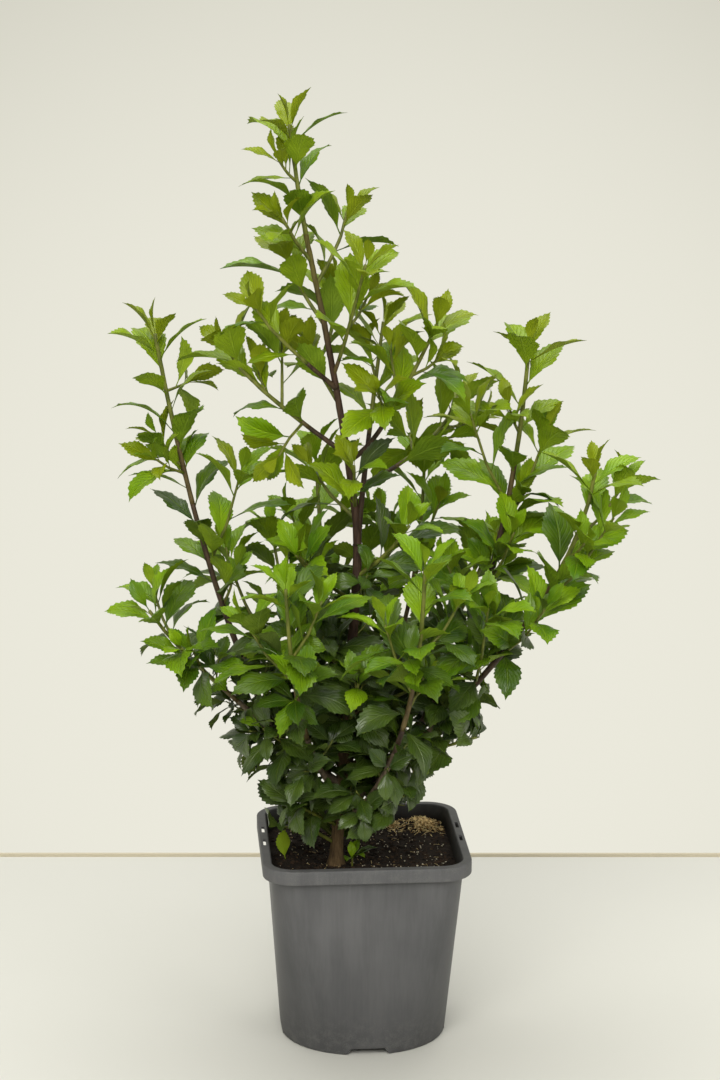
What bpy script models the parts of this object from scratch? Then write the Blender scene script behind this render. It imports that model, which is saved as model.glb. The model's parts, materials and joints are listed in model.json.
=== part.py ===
"""Potted blue holly: a square-topped nursery pot, its compost, and a young evergreen shrub.

Metres, +Z up. The pot stands on z = 0 round the vertical axis and its front face looks along -Y.
Lengths in the tables are millimetres. Headings are degrees from +X towards +Y.
"""

import math
import random

import bpy
from mathutils import Quaternion, Vector
from mathutils.bvhtree import BVHTree

MM = 0.001
GAP = 0.3  # clear space between neighbouring pieces
UP = Vector((0, 0, 1))
GOLDEN = 137.5  # degrees from each leaf to the next round a stem

POT_HEIGHT = 171.0
WALL = 1.8
FLOOR = 2.0
FLOOR_CORNER = 2.0  # rise of the slope between floor and wall
BODY_FOOT = (70.6, 64.4)  # half width and corner radius of the body at the table
BODY_TOP = (81.5, 20.6)  # the same at the rim
BODY_MIDDLE = 85.0
FOOT_EDGE = 1.6
RIM_HALF, RIM_CORNER = 87.5, 27.0
RIM_DROP, RIM_EDGE = 12.0, 1.2
ARC_STEPS = 5
SLOT_X = (BODY_TOP[0] + RIM_HALF - WALL) / 2  # midway between the body and the rim's skirt
SLOT_AT = ((-SLOT_X, -11.0), (-SLOT_X, 22.0), (SLOT_X, -11.0), (SLOT_X, 22.0))
SLOT_WIDTH, SLOT_LENGTH = 2.6, 14.0
GROOVE_FOOT, GROOVE_TOP, GROOVE_RISE = 37.0, 28.0, 6.0
GROOVE_START = 24.0  # from the pot's axis
HUMP_END = BODY_FOOT[0] - WALL / 2  # inside the wall
DRAIN_AT, DRAIN_RADIUS, DRAIN_SIDES = 44.0, 4.5, 10
OUTSIDE = 90.0  # beyond the pot's side

COMPOST_EDGE, COMPOST_TOP = 153.5, 156.0
COMPOST_RINGS = ((71.0, 18.0, 0.5), (56.0, 14.0, 0.0))  # half width, corner and drop of the top's rings

# Height, x, y and radius at stations up the trunk and its leader.
TRUNK = (
    (156.3, -24.6, -28.3, 5.6),
    (300.0, -14.0, -23.5, 4.8),
    (430.0, -5.0, -14.7, 3.8),
    (510.0, -13.7, -9.0, 3.2),
    (605.0, -29.5, -1.9, 2.8),
    (703.0, -48.5, 3.5, 2.3),
    (787.0, -60.2, 4.5, 1.7),
)
TRUNK_TIP = 688.0  # where the trunk enters the topmost foliage
TRUNK_SIDES, TRUNK_STEP = 11, 38.0
FLARE, FLARE_RISE, FLARE_LOBES, LOBE_DEPTH = 0.42, 9.0, 5, 0.35
FLARE_RINGS = (0.0, 3.0, 8.0, 16.0, 30.0)  # heights of the rings that shape the root flare

# Name: height on the trunk, heading, reach, top, spread, climb, foot radius, tip radius, bare share.
# Spread and climb are the shares of reach and rise at which the limb bends.
LIMBS = {
    "left_tall": (200, 163, 155, 604, 0.62, 0.19, 3.3, 1.8, 0.36),
    "left_low": (226, 190, 161, 388, 0.85, 0.73, 2.9, 1.5, 0.52),
    "left_mid": (506, 181, 100, 599, 0.90, 0.70, 2.3, 1.5, 0.28),
    "left_upper": (561, 203, 73, 634, 0.88, 0.73, 2.1, 1.4, 0.34),
    "right_tall": (214, 6, 158, 594, 0.86, 0.19, 3.7, 1.8, 0.42),
    "right_low": (203, 341, 213, 508, 0.94, 0.60, 3.5, 1.7, 0.40),
    "right_upper": (502, 341, 75, 618, 0.31, 0.03, 2.3, 1.5, 0.33),
    "right_mid": (477, 44, 136, 537, 0.84, 0.26, 2.3, 1.5, 0.35),
    "second_leader": (430, 42, 31, 614, 0.35, 0.45, 2.7, 1.5, 0.50),
    "front_left": (218, 242, 106, 421, 0.88, 0.28, 2.8, 1.6, 0.40),
    "front_right": (190, 299, 127, 440, 0.96, 0.31, 2.9, 1.7, 0.42),
    "back_left": (250, 96, 139, 484, 0.59, 0.28, 2.7, 1.5, 0.45),
    "back_right": (236, 58, 152, 476, 0.95, 0.30, 2.7, 1.5, 0.48),
    "back_far": (224, 78, 165, 420, 0.80, 0.45, 2.7, 1.5, 0.48),
    "back_side": (262, 31, 150, 415, 0.85, 0.45, 2.6, 1.5, 0.48),
}
BOUGH_SIDES, BOUGH_STEP = 7, 20.0

# Foliage whose stem springs from the trunk itself, as the first six columns above.
SPRAYS = {
    "top_right": (646, 38, 34, 703, 0.94, 0.63),
    "top_left": (665, 213, 29, 703, 0.25, 0.08),
    "upper_front": (572, 303, 43, 668, 0.20, 0.11),
    "upper_back": (597, 78, 45, 643, 1.00, 0.37),
    "upper_left": (613, 152, 35, 671, 0.90, 0.66),
    "mid_left": (548, 130, 34, 590, 0.60, 0.40),
    "mid_front": (462, 265, 36, 505, 0.60, 0.40),
    "mid_back": (452, 150, 42, 492, 0.60, 0.40),
    "mid_right": (404, 330, 48, 452, 0.60, 0.40),
    "inner_left": (382, 190, 52, 430, 0.60, 0.40),
    "back_mid": (240, 121, 105, 425, 0.70, 0.40),
    "back_outer": (264, 143, 120, 415, 0.80, 0.45),
    "low_1": (174, 196, 44, 204, 0.60, 0.60),
    "low_2": (178, 130, 56, 208, 0.60, 0.60),
    "low_3": (184, 22, 82, 222, 0.60, 0.60),
    "low_4": (190, 225, 60, 226, 0.60, 0.60),
    "low_5": (206, 100, 88, 262, 0.60, 0.45),
    "low_6": (197, 316, 74, 234, 0.60, 0.45),
    "low_7": (238, 212, 80, 290, 0.60, 0.45),
    "low_8": (270, 275, 70, 334, 0.60, 0.45),
    "low_9": (300, 12, 92, 352, 0.60, 0.45),
    "low_10": (324, 218, 60, 376, 0.60, 0.45),
    "low_11": (244, 330, 122, 284, 0.60, 0.45),
    "low_12": (222, 36, 104, 276, 0.60, 0.45),
    "low_13": (216, 150, 84, 268, 0.60, 0.45),
    "low_14": (286, 344, 90, 334, 0.60, 0.45),
}
SPRAY_FOOT, SPRAY_TIP = 1.9, 1.3
LEADER_FOOT, LEADER_TIP = 2.3, 1.6
STEM_STEP = 24.0

# Limb: side shoots of its foliage, each as share along the limb, heading, reach and rise.
SIDE_SHOOTS = {
    "left_tall": ((0.39, 203, 13, 47), (0.55, 5, 27, 77), (0.73, 219, 30, 16), (0.89, 50, 33, 4)),
    "left_low": ((0.85, 136, 23, 41), (0.67, 236, 22, 26)),
    "left_mid": ((0.33, 230, 33, -22), (0.49, 86, 15, 53)),
    "right_upper": ((0.50, 153, 8, 40), (0.38, 248, 32, 25)),
    "right_tall": ((0.63, 12, 38, 82), (0.69, 192, 33, 78), (0.53, 301, 35, 50), (0.46, 212, 31, 48)),
    "right_low": ((0.65, 341, 65, 84), (0.53, 305, 52, 50), (0.44, 274, 54, 79), (0.84, 20, 44, 42)),
    "right_mid": ((0.76, 11, 33, 6), (0.52, 89, 50, 6)),
    "front_left": ((0.65, 173, 39, 50), (0.74, 347, 25, 50)),
    "front_right": ((0.63, 194, 23, 59), (0.74, 9, 36, 47)),
    "back_left": ((0.61, 141, 35, 49), (0.72, 23, 22, 24)),
    "back_right": ((0.76, 320, 22, 39), (0.69, 175, 28, 49)),
    "back_far": ((0.62, 120, 34, 40), (0.75, 30, 30, 30)),
    "back_side": ((0.62, 75, 34, 40), (0.75, 350, 30, 30)),
}
TWIG_FOOT, TWIG_TIP = 1.5, 1.1
TWIG_SPREAD, TWIG_CLIMB = 0.62, 0.38
TWIG_SPACING = 110.0  # between the side shoots that only the rule places
FIRST_TWIG, LAST_TWIG = 46.0, 24.0  # from the stem's foot and from its tip
TWIG_REACH = (24.0, 36.0)
STEM_SIDES = 3
NEAR = 6.0  # within this of its own stem, a twig may touch it

SEED = 20
LEAF_LENGTH = 59.0
LEAF_WIDTH, LEAF_THICK, LEAF_FOLD, LEAF_CURL = 0.54, 0.034, 0.075, 0.16  # as shares of the length
LEAF_WIDEST = 0.5
LEAF_SINK = 0.3  # how far beyond the stem's axis the leaf's root reaches, as a share of its radius
LEAF_SPACING = 33.0
LOW_SPACING = 12.0  # round the foot, where the foliage is densest
ROSETTE, ROSETTE_STEP = 3, 4.6  # leaves crowded at the tip of a shoot
FIRST_LEAF, LAST_LEAF = 1.5, 9.0  # from the tip and from the foot
LEAFY = 105.0  # length behind a tip that still carries every leaf
BARE_STEP = 2.6  # how much sparser leaves are on older wood
YOUNG = 5  # leaves behind a tip that are still growing
YOUNG_SHORT = 0.34
SPREAD, YOUNG_SPREAD = 56.0, 36.0  # degrees from the stem, grown and at the tip
DROOP, LIGHT = 0.12, 0.7  # how far a leaf's tip sinks, and its face turns up
BLADE_START = 5.0  # how far from its stem a leaf may touch its neighbours
CLEAR = 1.3  # leaves keep this many gaps from other pieces
OWN_SPACE = 6.0  # how much nearer another mass's stems a leaf may come
TRIES = ((0, 1.0), (25, 1.0), (-25, 1.0), (50, 0.85), (-50, 0.85))  # turn and size of each try

for item in list(bpy.data.objects):
    bpy.data.objects.remove(item)


def piece(name, verts, faces, colour, roughness):
    """One mesh object with a plain material of its own."""
    mesh = bpy.data.meshes.new(name)
    mesh.from_pydata([tuple(v) for v in verts], [], faces)
    item = bpy.data.objects.new(name, mesh)
    bpy.context.collection.objects.link(item)
    material = bpy.data.materials.new(name)
    material.use_nodes = True
    shader = material.node_tree.nodes["Principled BSDF"]
    shader.inputs["Base Color"].default_value = (*colour, 1)
    shader.inputs["Roughness"].default_value = roughness
    item.data.materials.append(material)
    return item


def tool(verts, faces):
    """A mesh that only cuts or joins another."""
    return piece("tool", verts, faces, (1, 1, 1), 0.5)


def combine(item, operation, tools):
    """Cuts or joins item with all the tools in one Boolean, applies it, and removes them."""
    group = bpy.data.collections.new("tools")
    bpy.context.scene.collection.children.link(group)
    for other in tools:
        for home in list(other.users_collection):
            home.objects.unlink(other)
        group.objects.link(other)
    change = item.modifiers.new("combine", "BOOLEAN")
    change.operation = operation
    change.operand_type = "COLLECTION"
    change.collection = group
    change.solver = "EXACT"
    scene = bpy.context.evaluated_depsgraph_get()
    mesh = bpy.data.meshes.new_from_object(item.evaluated_get(scene))
    item.modifiers.clear()
    material = item.data.materials[0]
    item.data = mesh
    mesh.materials.clear()
    mesh.materials.append(material)
    for other in tools:
        bpy.data.objects.remove(other)
    bpy.data.collections.remove(group)


def loft(rings):
    """Skin over rings of equal count, anticlockwise from above, with the first and last capped."""
    count = len(rings[0])
    verts = [point for ring in rings for point in ring]
    faces = [tuple(reversed(range(count)))]
    for level in range(len(rings) - 1):
        low, high = level * count, (level + 1) * count
        for i in range(count):
            j = (i + 1) % count
            faces.append((low + i, low + j, high + j, high + i))
    faces.append(tuple(range(len(verts) - count, len(verts))))
    return verts, faces


def square_ring(half, corner, z):
    """A level square with round corners."""
    away = (half - corner) * math.sqrt(2)
    points = []
    for quarter in range(4):
        middle = math.radians(90 * quarter + 45)
        for step in range(ARC_STEPS + 1):
            turn = math.radians(90 * (quarter + step / ARC_STEPS))
            x = away * math.cos(middle) + corner * math.cos(turn)
            y = away * math.sin(middle) + corner * math.sin(turn)
            points.append(Vector((x, y, z)) * MM)
    return points


def body_ring(z, inset=0.0):
    """The pot body's outline at a height, drawn in by inset."""
    share = z / POT_HEIGHT
    half, corner = (foot + (top - foot) * share for foot, top in zip(BODY_FOOT, BODY_TOP))
    return square_ring(half - inset, corner - inset, z)


def bar(start, end, foot, top, low, high, quarter=0):
    """A bar along a radius, of one width below and another above, turned to one of four sides."""
    turn = Quaternion(UP, math.radians(90 * quarter))
    rings = []
    for z, width in ((low, foot), (high, top)):
        corners = ((start, -width / 2), (end, -width / 2), (end, width / 2), (start, width / 2))
        rings.append([turn @ Vector((x, y, z)) * MM for x, y in corners])
    return loft(rings)


def groove(side, grow, end, low):
    """The bar of one drainage groove, grown on every face."""
    slope = (GROOVE_FOOT - GROOVE_TOP) / GROOVE_RISE
    high = GROOVE_RISE + grow
    foot, top = (GROOVE_FOOT - slope * z + 2 * grow for z in (low, high))
    return tool(*bar(GROOVE_START - grow, end, foot, top, low, high, side))


def drain(side):
    """A round hole through the roof of a groove."""
    turn = math.radians(90 * side)
    middle = Vector((math.cos(turn), math.sin(turn), 0)) * DRAIN_AT
    rings = []
    for z in (GROOVE_RISE - 1, GROOVE_RISE + FLOOR + 1):
        turns = [math.tau * i / DRAIN_SIDES for i in range(DRAIN_SIDES)]
        circle = [Vector((math.cos(a), math.sin(a), 0)) * DRAIN_RADIUS for a in turns]
        rings.append([(middle + UP * z + point) * MM for point in circle])
    return tool(*loft(rings))


def slot(x, y):
    """A slot for a label through the top of the rim."""
    verts, faces = bar(
        -SLOT_WIDTH / 2, SLOT_WIDTH / 2, SLOT_LENGTH, SLOT_LENGTH, POT_HEIGHT - RIM_DROP, POT_HEIGHT + 1
    )
    return tool([v + Vector((x, y, 0)) * MM for v in verts], faces)


# Pot: a moulded plastic wall, round at the foot and square at the top, with a turned-down rim.
rim_under = POT_HEIGHT - WALL
pot = piece(
    "pot",
    *loft(
        [
            body_ring(0.0, FOOT_EDGE),
            body_ring(FOOT_EDGE),
            body_ring(BODY_MIDDLE),
            body_ring(rim_under),
            square_ring(RIM_HALF - WALL, RIM_CORNER - WALL, rim_under),
            square_ring(RIM_HALF - WALL, RIM_CORNER - WALL, POT_HEIGHT - RIM_DROP),
            square_ring(RIM_HALF, RIM_CORNER, POT_HEIGHT - RIM_DROP),
            square_ring(RIM_HALF, RIM_CORNER, POT_HEIGHT - RIM_EDGE),
            square_ring(RIM_HALF - RIM_EDGE, RIM_CORNER - RIM_EDGE, POT_HEIGHT),
            body_ring(POT_HEIGHT, WALL - RIM_EDGE),
            body_ring(POT_HEIGHT - RIM_EDGE, WALL),
            body_ring(BODY_MIDDLE, WALL),
            body_ring(FLOOR + FLOOR_CORNER, WALL),
            body_ring(FLOOR, WALL + FLOOR_CORNER),
        ]
    ),
    (0.105, 0.108, 0.102),
    0.5,
)
sides = range(4)
combine(pot, "UNION", [groove(side, FLOOR, HUMP_END, 1.0) for side in sides])
openings = [groove(side, 0.0, OUTSIDE, -1.0) for side in sides]
openings += [drain(side) for side in sides] + [slot(x, y) for x, y in SLOT_AT]
combine(pot, "DIFFERENCE", openings)

# Compost: fills the pot to just under the rim, and lies level round the trunk's foot.
compost = piece(
    "compost",
    *loft(
        [
            body_ring(FLOOR + GAP, WALL + FLOOR_CORNER + GAP),
            body_ring(FLOOR + FLOOR_CORNER + GAP, WALL + GAP),
            body_ring(BODY_MIDDLE, WALL + GAP),
            body_ring(COMPOST_EDGE, WALL + GAP),
            *(square_ring(half, corner, COMPOST_TOP - drop) for half, corner, drop in COMPOST_RINGS),
        ]
    ),
    (0.018, 0.012, 0.009),
    0.95,
)
combine(compost, "DIFFERENCE", [groove(side, FLOOR + GAP, OUTSIDE, 1.0) for side in sides])


def at_height(height):
    """The trunk's axis and radius at a height, on a smooth curve through its stations."""
    last = len(TRUNK) - 1
    i = max(k for k in range(last) if TRUNK[k][0] <= height or k == 0)
    before, low, high, after = (TRUNK[min(max(k, 0), last)] for k in (i - 1, i, i + 1, i + 2))
    rise = high[0] - low[0]
    t = (height - low[0]) / rise
    found = []
    for k in (1, 2, 3):
        enter = (high[k] - before[k]) / (high[0] - before[0]) * rise
        leave = (after[k] - low[k]) / (after[0] - low[0]) * rise
        ends = (2 * t**3 - 3 * t**2 + 1) * low[k] + (3 * t**2 - 2 * t**3) * high[k]
        found.append(ends + (t**3 - 2 * t**2 + t) * enter + (t**3 - t**2) * leave)
    x, y, radius = found
    return Vector((x, y, height)) * MM, radius


def trunk_skin(grow, low, high):
    """The trunk between two heights, with the lobes of its root flare, grown all round."""
    heights = [low + rise for rise in FLARE_RINGS]
    while heights[-1] + TRUNK_STEP < high:
        heights.append(heights[-1] + TRUNK_STEP)
    heights.append(high)
    rings = []
    for height in heights:
        middle, radius = at_height(height)
        flare = FLARE * math.exp(-(height - TRUNK[0][0]) / FLARE_RISE)
        ring = []
        for i in range(TRUNK_SIDES):
            turn = math.tau * i / TRUNK_SIDES
            lobe = 1 + flare * (1 + LOBE_DEPTH * math.cos(FLARE_LOBES * turn))
            out = Vector((math.cos(turn), math.sin(turn), 0))
            ring.append(middle + out * (radius * lobe + grow) * MM)
        rings.append(ring)
    return loft(rings)


def bent(foot, out, rise, spread, climb, count):
    """Points on a limb that bends once between its foot and its tip."""
    bend = foot + out * spread + UP * rise * climb
    tip = foot + out + UP * rise
    shares = [i / (count - 1) for i in range(count)]
    return [(1 - t) ** 2 * foot + 2 * t * (1 - t) * bend + t * t * tip for t in shares]


def limb_axis(start, heading, reach, top, spread, climb):
    """A limb's axis, from the trunk's axis to the limb's tip."""
    turn = math.radians(heading)
    out = Vector((math.cos(turn), math.sin(turn), 0)) * reach * MM
    return bent(at_height(start)[0], out, (top - start) * MM, spread, climb, 15)


def lengths(path):
    """Length along the path to each of its points."""
    run = [0.0]
    for a, b in zip(path, path[1:]):
        run.append(run[-1] + (b - a).length)
    return run


def along(path, distance):
    """Point and direction of a path at a distance along it."""
    run = lengths(path)
    i = max(k for k in range(len(path) - 1) if run[k] <= distance or k == 0)
    step = path[i + 1] - path[i]
    return path[i] + step * ((distance - run[i]) / step.length), step.normalized()


def stretch(path, low, high, step):
    """The part of a path between two distances, in even steps."""
    count = max(2, round((high - low) / (step * MM)) + 1)
    return [along(path, low + (high - low) * i / (count - 1))[0] for i in range(count)]


def tube(path, foot, tip, count=STEM_SIDES):
    """A tapering limb, cut square at both ends."""
    rings = []
    last = len(path) - 1
    normal = (path[1] - path[0]).orthogonal()
    for i, point in enumerate(path):
        tangent = (path[min(i + 1, last)] - path[max(i - 1, 0)]).normalized()
        normal = (normal - tangent * normal.dot(tangent)).normalized()
        other = tangent.cross(normal)
        radius = (foot + (tip - foot) * i / last) * MM
        angles = [math.tau * k / count for k in range(count)]
        rings.append([point + (normal * math.cos(a) + other * math.sin(a)) * radius for a in angles])
    return loft(rings)


def leaf(root, axis, face, length, grow=0.0, start=0.0):
    """A leaf of eight faces: folded along its midrib, its tip curled back."""
    side = axis.cross(face)
    middle = root + axis * length * LEAF_WIDEST
    wide = length * LEAF_WIDTH / 2 + grow
    thick = length * LEAF_THICK / 2 + grow
    raised = face * length * LEAF_FOLD
    verts = [
        root + axis * start,
        root + axis * (length + grow) - face * length * LEAF_CURL,
        middle - side * wide + raised,
        middle + side * wide + raised,
        middle + face * thick,
        middle - face * thick,
    ]
    faces = [(0, 3, 4), (0, 4, 2), (1, 4, 3), (1, 2, 4), (0, 5, 3), (0, 2, 5), (1, 3, 5), (1, 5, 2)]
    return verts, faces


class Room:
    """What has been placed so far, so that nothing new touches it."""

    def __init__(self):
        self.shapes = []

    def box(self, verts):
        return (
            Vector([min(v[k] for v in verts) for k in range(3)]),
            Vector([max(v[k] for v in verts) for k in range(3)]),
        )

    def add(self, owner, verts, faces):
        self.shapes.append((owner, BVHTree.FromPolygons(verts, faces), *self.box(verts)))

    def touches(self, verts, faces, but=None, only=None):
        """Whether a shape meets any other, but one owner's or only one owner's."""
        low, high = self.box(verts)
        tree = BVHTree.FromPolygons(verts, faces)
        for owner, other, other_low, other_high in self.shapes:
            if owner == but or only not in (None, owner):
                continue
            if any(low[k] > other_high[k] or high[k] < other_low[k] for k in range(3)):
                continue
            if tree.overlap(other):
                return True
        return False


room = Room()
for item in (pot, compost):
    shape = [v.co for v in item.data.vertices], [tuple(p.vertices) for p in item.data.polygons]
    room.add(item.name, *shape)

# Trunk: one whole stem from the compost to the topmost foliage.
trunk = trunk_skin(0.0, TRUNK[0][0], TRUNK_TIP)
piece("trunk", *trunk, (0.16, 0.11, 0.06), 0.8)
room.add("trunk", *trunk)


def cut_at_trunk(item):
    """Trims a limb's foot to the trunk's side, a gap away."""
    combine(item, "DIFFERENCE", [tool(*trunk_skin(GAP, TRUNK[0][0] - 1, TRUNK_TIP + GAP))])


# Each mass of foliage is a list of stems, its main one first: axis, foot and tip radius.
masses = {}
whole = {}


def start_mass(name, stem, foot, tip):
    masses[name] = [(stem, foot, tip)]
    room.add(name, *tube(stem, foot, tip))


# Boughs: tapering limbs, each bare until the foliage at its tip.
for name, (start, heading, reach, top, spread, climb, foot, tip, bare) in LIMBS.items():
    axis = limb_axis(start, heading, reach, top, spread, climb)
    run = lengths(axis)[-1]
    waist = foot + (tip - foot) * bare
    bough = tube(stretch(axis, 0, run * bare, BOUGH_STEP), foot, waist, BOUGH_SIDES)
    room.add("bough_" + name, *bough)
    cut_at_trunk(piece("bough_" + name, *bough, (0.10, 0.055, 0.035), 0.7))
    start_mass("foliage_" + name, stretch(axis, run * bare + GAP * MM, run, STEM_STEP), waist, tip)
    whole[name] = axis

# Foliage on the trunk: the leader's own tip, and sprays from the trunk's sides.
low, high = TRUNK_TIP - 2 * LEADER_FOOT, TRUNK[-1][0]
leader = [at_height(low + (high - low) * i / 4)[0] for i in range(5)]
start_mass("foliage_top", leader, LEADER_FOOT, LEADER_TIP)
for name, row in SPRAYS.items():
    axis = limb_axis(*row)
    start_mass("foliage_" + name, stretch(axis, 0, lengths(axis)[-1], STEM_STEP), SPRAY_FOOT, SPRAY_TIP)
on_trunk = {"foliage_top"} | {"foliage_" + name for name in SPRAYS}

# Side shoots: those the table names, then others by a seeded rule.
dice = random.Random(SEED)


def add_shoot(mass, foot, out, rise):
    """A twig from a point on a stem, if there is room for it."""
    path = bent(foot, out, rise, TWIG_SPREAD, TWIG_CLIMB, 3)
    if room.touches(*tube(path, TWIG_FOOT + 2 * GAP, TWIG_TIP + 2 * GAP), but=mass):
        return
    free = tube(stretch(path, NEAR * MM, lengths(path)[-1], 2 * NEAR), TWIG_FOOT, TWIG_TIP)
    if room.touches(*free, only=mass):
        return
    masses[mass].append((path, TWIG_FOOT, TWIG_TIP))
    room.add(mass, *free)


for name, shoots in SIDE_SHOOTS.items():
    run = lengths(whole[name])[-1]
    for share, heading, reach, rise in shoots:
        turn = math.radians(heading)
        out = Vector((math.cos(turn), math.sin(turn), 0)) * reach * MM
        add_shoot("foliage_" + name, along(whole[name], run * share)[0], out, rise * MM)

for mass, stems in masses.items():
    if "_low_" in mass:
        continue
    stem = stems[0][0]
    distance = FIRST_TWIG * MM
    turn = dice.uniform(0, 360)
    while distance < lengths(stem)[-1] - LAST_TWIG * MM:
        foot, tangent = along(stem, distance)
        side = tangent.orthogonal().normalized()
        side.rotate(Quaternion(tangent, math.radians(turn)))
        way = (tangent + side + UP / 2).normalized() * dice.uniform(*TWIG_REACH) * MM
        add_shoot(mass, foot, Vector((way.x, way.y, 0)), way.z)
        turn += GOLDEN
        distance += TWIG_SPACING * dice.uniform(0.8, 1.2) * MM

# Leaves: in a spiral along every stem, crowded and small at the tips. Those nearest the tips are
# placed first, and one that would touch a limb or leave its mass's space is skipped.
buds = []
for mass, stems in masses.items():
    spacing = LOW_SPACING if "_low_" in mass else LEAF_SPACING
    for stem, foot, tip in stems:
        run = lengths(stem)[-1] / MM
        behind = FIRST_LEAF
        rank = 0
        turn = dice.uniform(0, 360)
        while behind < run - LAST_LEAF:
            point, tangent = along(stem, (run - behind) * MM)
            radius = tip + (foot - tip) * behind / run
            buds.append((rank, dice.random(), mass, point, tangent, turn, radius))
            turn += GOLDEN + dice.uniform(-14, 14)
            step = ROSETTE_STEP if rank < ROSETTE else spacing * dice.uniform(0.85, 1.15)
            behind += step * (BARE_STEP if behind > LEAFY else 1)
            rank += 1
buds.sort(key=lambda bud: bud[:2])

axes = {
    mass: [point for stem, _, _ in stems for point in stretch(stem, 0, lengths(stem)[-1], 8.0)]
    for mass, stems in masses.items()
}


def in_own_space(mass, point):
    """Whether a point is about as near its own mass's stems as any other's."""
    near = {other: min((point - place).length for place in places) for other, places in axes.items()}
    return near.pop(mass) < min(near.values()) + OWN_SPACE * MM


def lay(point, tangent, turn, radius, rank, length):
    """Root, axis, face and length of the leaf at a bud."""
    young = max(0.0, 1 - rank / YOUNG)
    side = tangent.orthogonal().normalized()
    side.rotate(Quaternion(tangent, math.radians(turn)))
    lean = math.radians(SPREAD + (YOUNG_SPREAD - SPREAD) * young)
    axis = tangent * math.cos(lean) + side * math.sin(lean) - UP * DROOP * (1 - young)
    axis.normalize()
    face = (tangent - axis * tangent.dot(axis)).normalized() + UP * LIGHT
    face = (face - axis * face.dot(axis)).normalized()
    size = length * (1 - YOUNG_SHORT * young) * MM
    return point - axis * radius * LEAF_SINK * MM, axis, face, size


leaves = {mass: [] for mass in masses}
blades = Room()
for rank, _, mass, point, tangent, turn, radius in buds:
    length = LEAF_LENGTH * dice.uniform(0.9, 1.08)
    for twist, size in TRIES:
        root, axis, face, full = lay(point, tangent, turn + twist, radius, rank, length * size)
        if room.touches(*leaf(root, axis, face, full, grow=CLEAR * GAP * MM), but=mass):
            continue
        blade = leaf(root, axis, face, full, start=BLADE_START * MM)
        if blades.touches(*blade, only=mass) or not in_own_space(mass, root + axis * full * 0.6):
            continue
        leaves[mass].append(leaf(root, axis, face, full))
        room.add(mass, *leaves[mass][-1])
        blades.add(mass, *blade)
        break


def keep_largest(item):
    """Keeps only the biggest surface, so that sealed hollows fill and loose scraps drop."""
    mesh = item.data
    group = list(range(len(mesh.vertices)))

    def head(i):
        while group[i] != i:
            i = group[i]
        return i

    for edge in mesh.edges:
        a, b = (head(i) for i in edge.vertices)
        group[a] = b
    heads = [head(i) for i in range(len(group))]
    biggest = max(set(heads), key=heads.count)
    kept = [i for i, found in enumerate(heads) if found == biggest]
    order = {old: new for new, old in enumerate(kept)}
    faces = [[order[i] for i in face.vertices] for face in mesh.polygons if face.vertices[0] in order]
    material = mesh.materials[0]
    item.data = bpy.data.meshes.new(item.name)
    item.data.from_pydata([tuple(mesh.vertices[i].co) for i in kept], [], faces)
    item.data.materials.append(material)


# Each mass is fused into one solid, its foot cut clear of the trunk where it springs from that.
for mass, stems in masses.items():
    colour = (0.045, 0.105, 0.03) if "_low_" in mass else (0.12, 0.22, 0.03)
    item = piece(mass, *tube(*stems[0]), colour, 0.45)
    if mass in on_trunk:
        cut_at_trunk(item)
    shapes = [tube(*stem) for stem in stems[1:]] + leaves[mass]
    combine(item, "UNION", [tool(*shape) for shape in shapes])
    keep_largest(item)
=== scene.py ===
"""Looks of the potted blue holly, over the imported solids.

Metres, +Z up, as the solids are. Lengths in the tables are millimetres.
"""

import json
import math
import random
from itertools import combinations

import bpy
import numpy as np
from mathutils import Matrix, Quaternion, Vector, noise
from mathutils.bvhtree import BVHTree

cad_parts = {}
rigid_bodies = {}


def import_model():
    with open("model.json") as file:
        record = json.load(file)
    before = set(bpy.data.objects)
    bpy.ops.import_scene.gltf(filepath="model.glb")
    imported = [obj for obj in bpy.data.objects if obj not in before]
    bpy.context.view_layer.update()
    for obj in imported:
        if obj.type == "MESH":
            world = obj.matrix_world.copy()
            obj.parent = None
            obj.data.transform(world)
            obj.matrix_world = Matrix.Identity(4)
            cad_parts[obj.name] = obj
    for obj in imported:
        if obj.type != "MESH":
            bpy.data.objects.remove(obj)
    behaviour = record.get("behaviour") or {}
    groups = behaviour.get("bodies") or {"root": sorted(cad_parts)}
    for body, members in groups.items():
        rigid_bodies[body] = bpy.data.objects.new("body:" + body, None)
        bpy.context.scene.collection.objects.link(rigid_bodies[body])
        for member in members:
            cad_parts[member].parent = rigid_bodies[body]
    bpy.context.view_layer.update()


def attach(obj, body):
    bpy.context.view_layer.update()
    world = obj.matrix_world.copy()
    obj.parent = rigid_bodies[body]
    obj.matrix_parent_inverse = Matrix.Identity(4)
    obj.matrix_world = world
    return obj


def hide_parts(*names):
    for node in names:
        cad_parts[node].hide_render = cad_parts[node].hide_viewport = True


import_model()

# Pot: a thin-walled nursery pot of recycled grey polypropylene, moulded in one piece. Its body is
# round at the foot and square at the top, where the wall turns out and down into a stiff rim with
# slots for labels. Four drainage grooves run under the floor to the foot.
MM = 0.001
POT_HEIGHT = 171.0
WALL = 1.8
FLOOR = 2.0
BODY_FOOT = (70.6, 64.4)  # half width and corner radius at the table
BODY_TOP = (81.5, 20.6)  # the same at the rim
RIM_HALF, RIM_CORNER = 87.5, 27.0
RIM_DROP = 12.0
FOOT_ROUND, LIP_ROUND, SKIRT_ROUND = 1.6, 1.2, 0.8
UNDER_RIM, COVE = 5.0, 2.4  # where the wall turns out under the rim, and how round
CORNER_STEPS = 14
BODY_RINGS = 14
SLOT_X = (BODY_TOP[0] + RIM_HALF - WALL) / 2  # midway between the body and the rim's skirt
SLOT_AT = ((-SLOT_X, -11.0), (-SLOT_X, 22.0), (SLOT_X, -11.0), (SLOT_X, 22.0))
SLOT_WIDTH, SLOT_LENGTH = 2.6, 14.0
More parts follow.
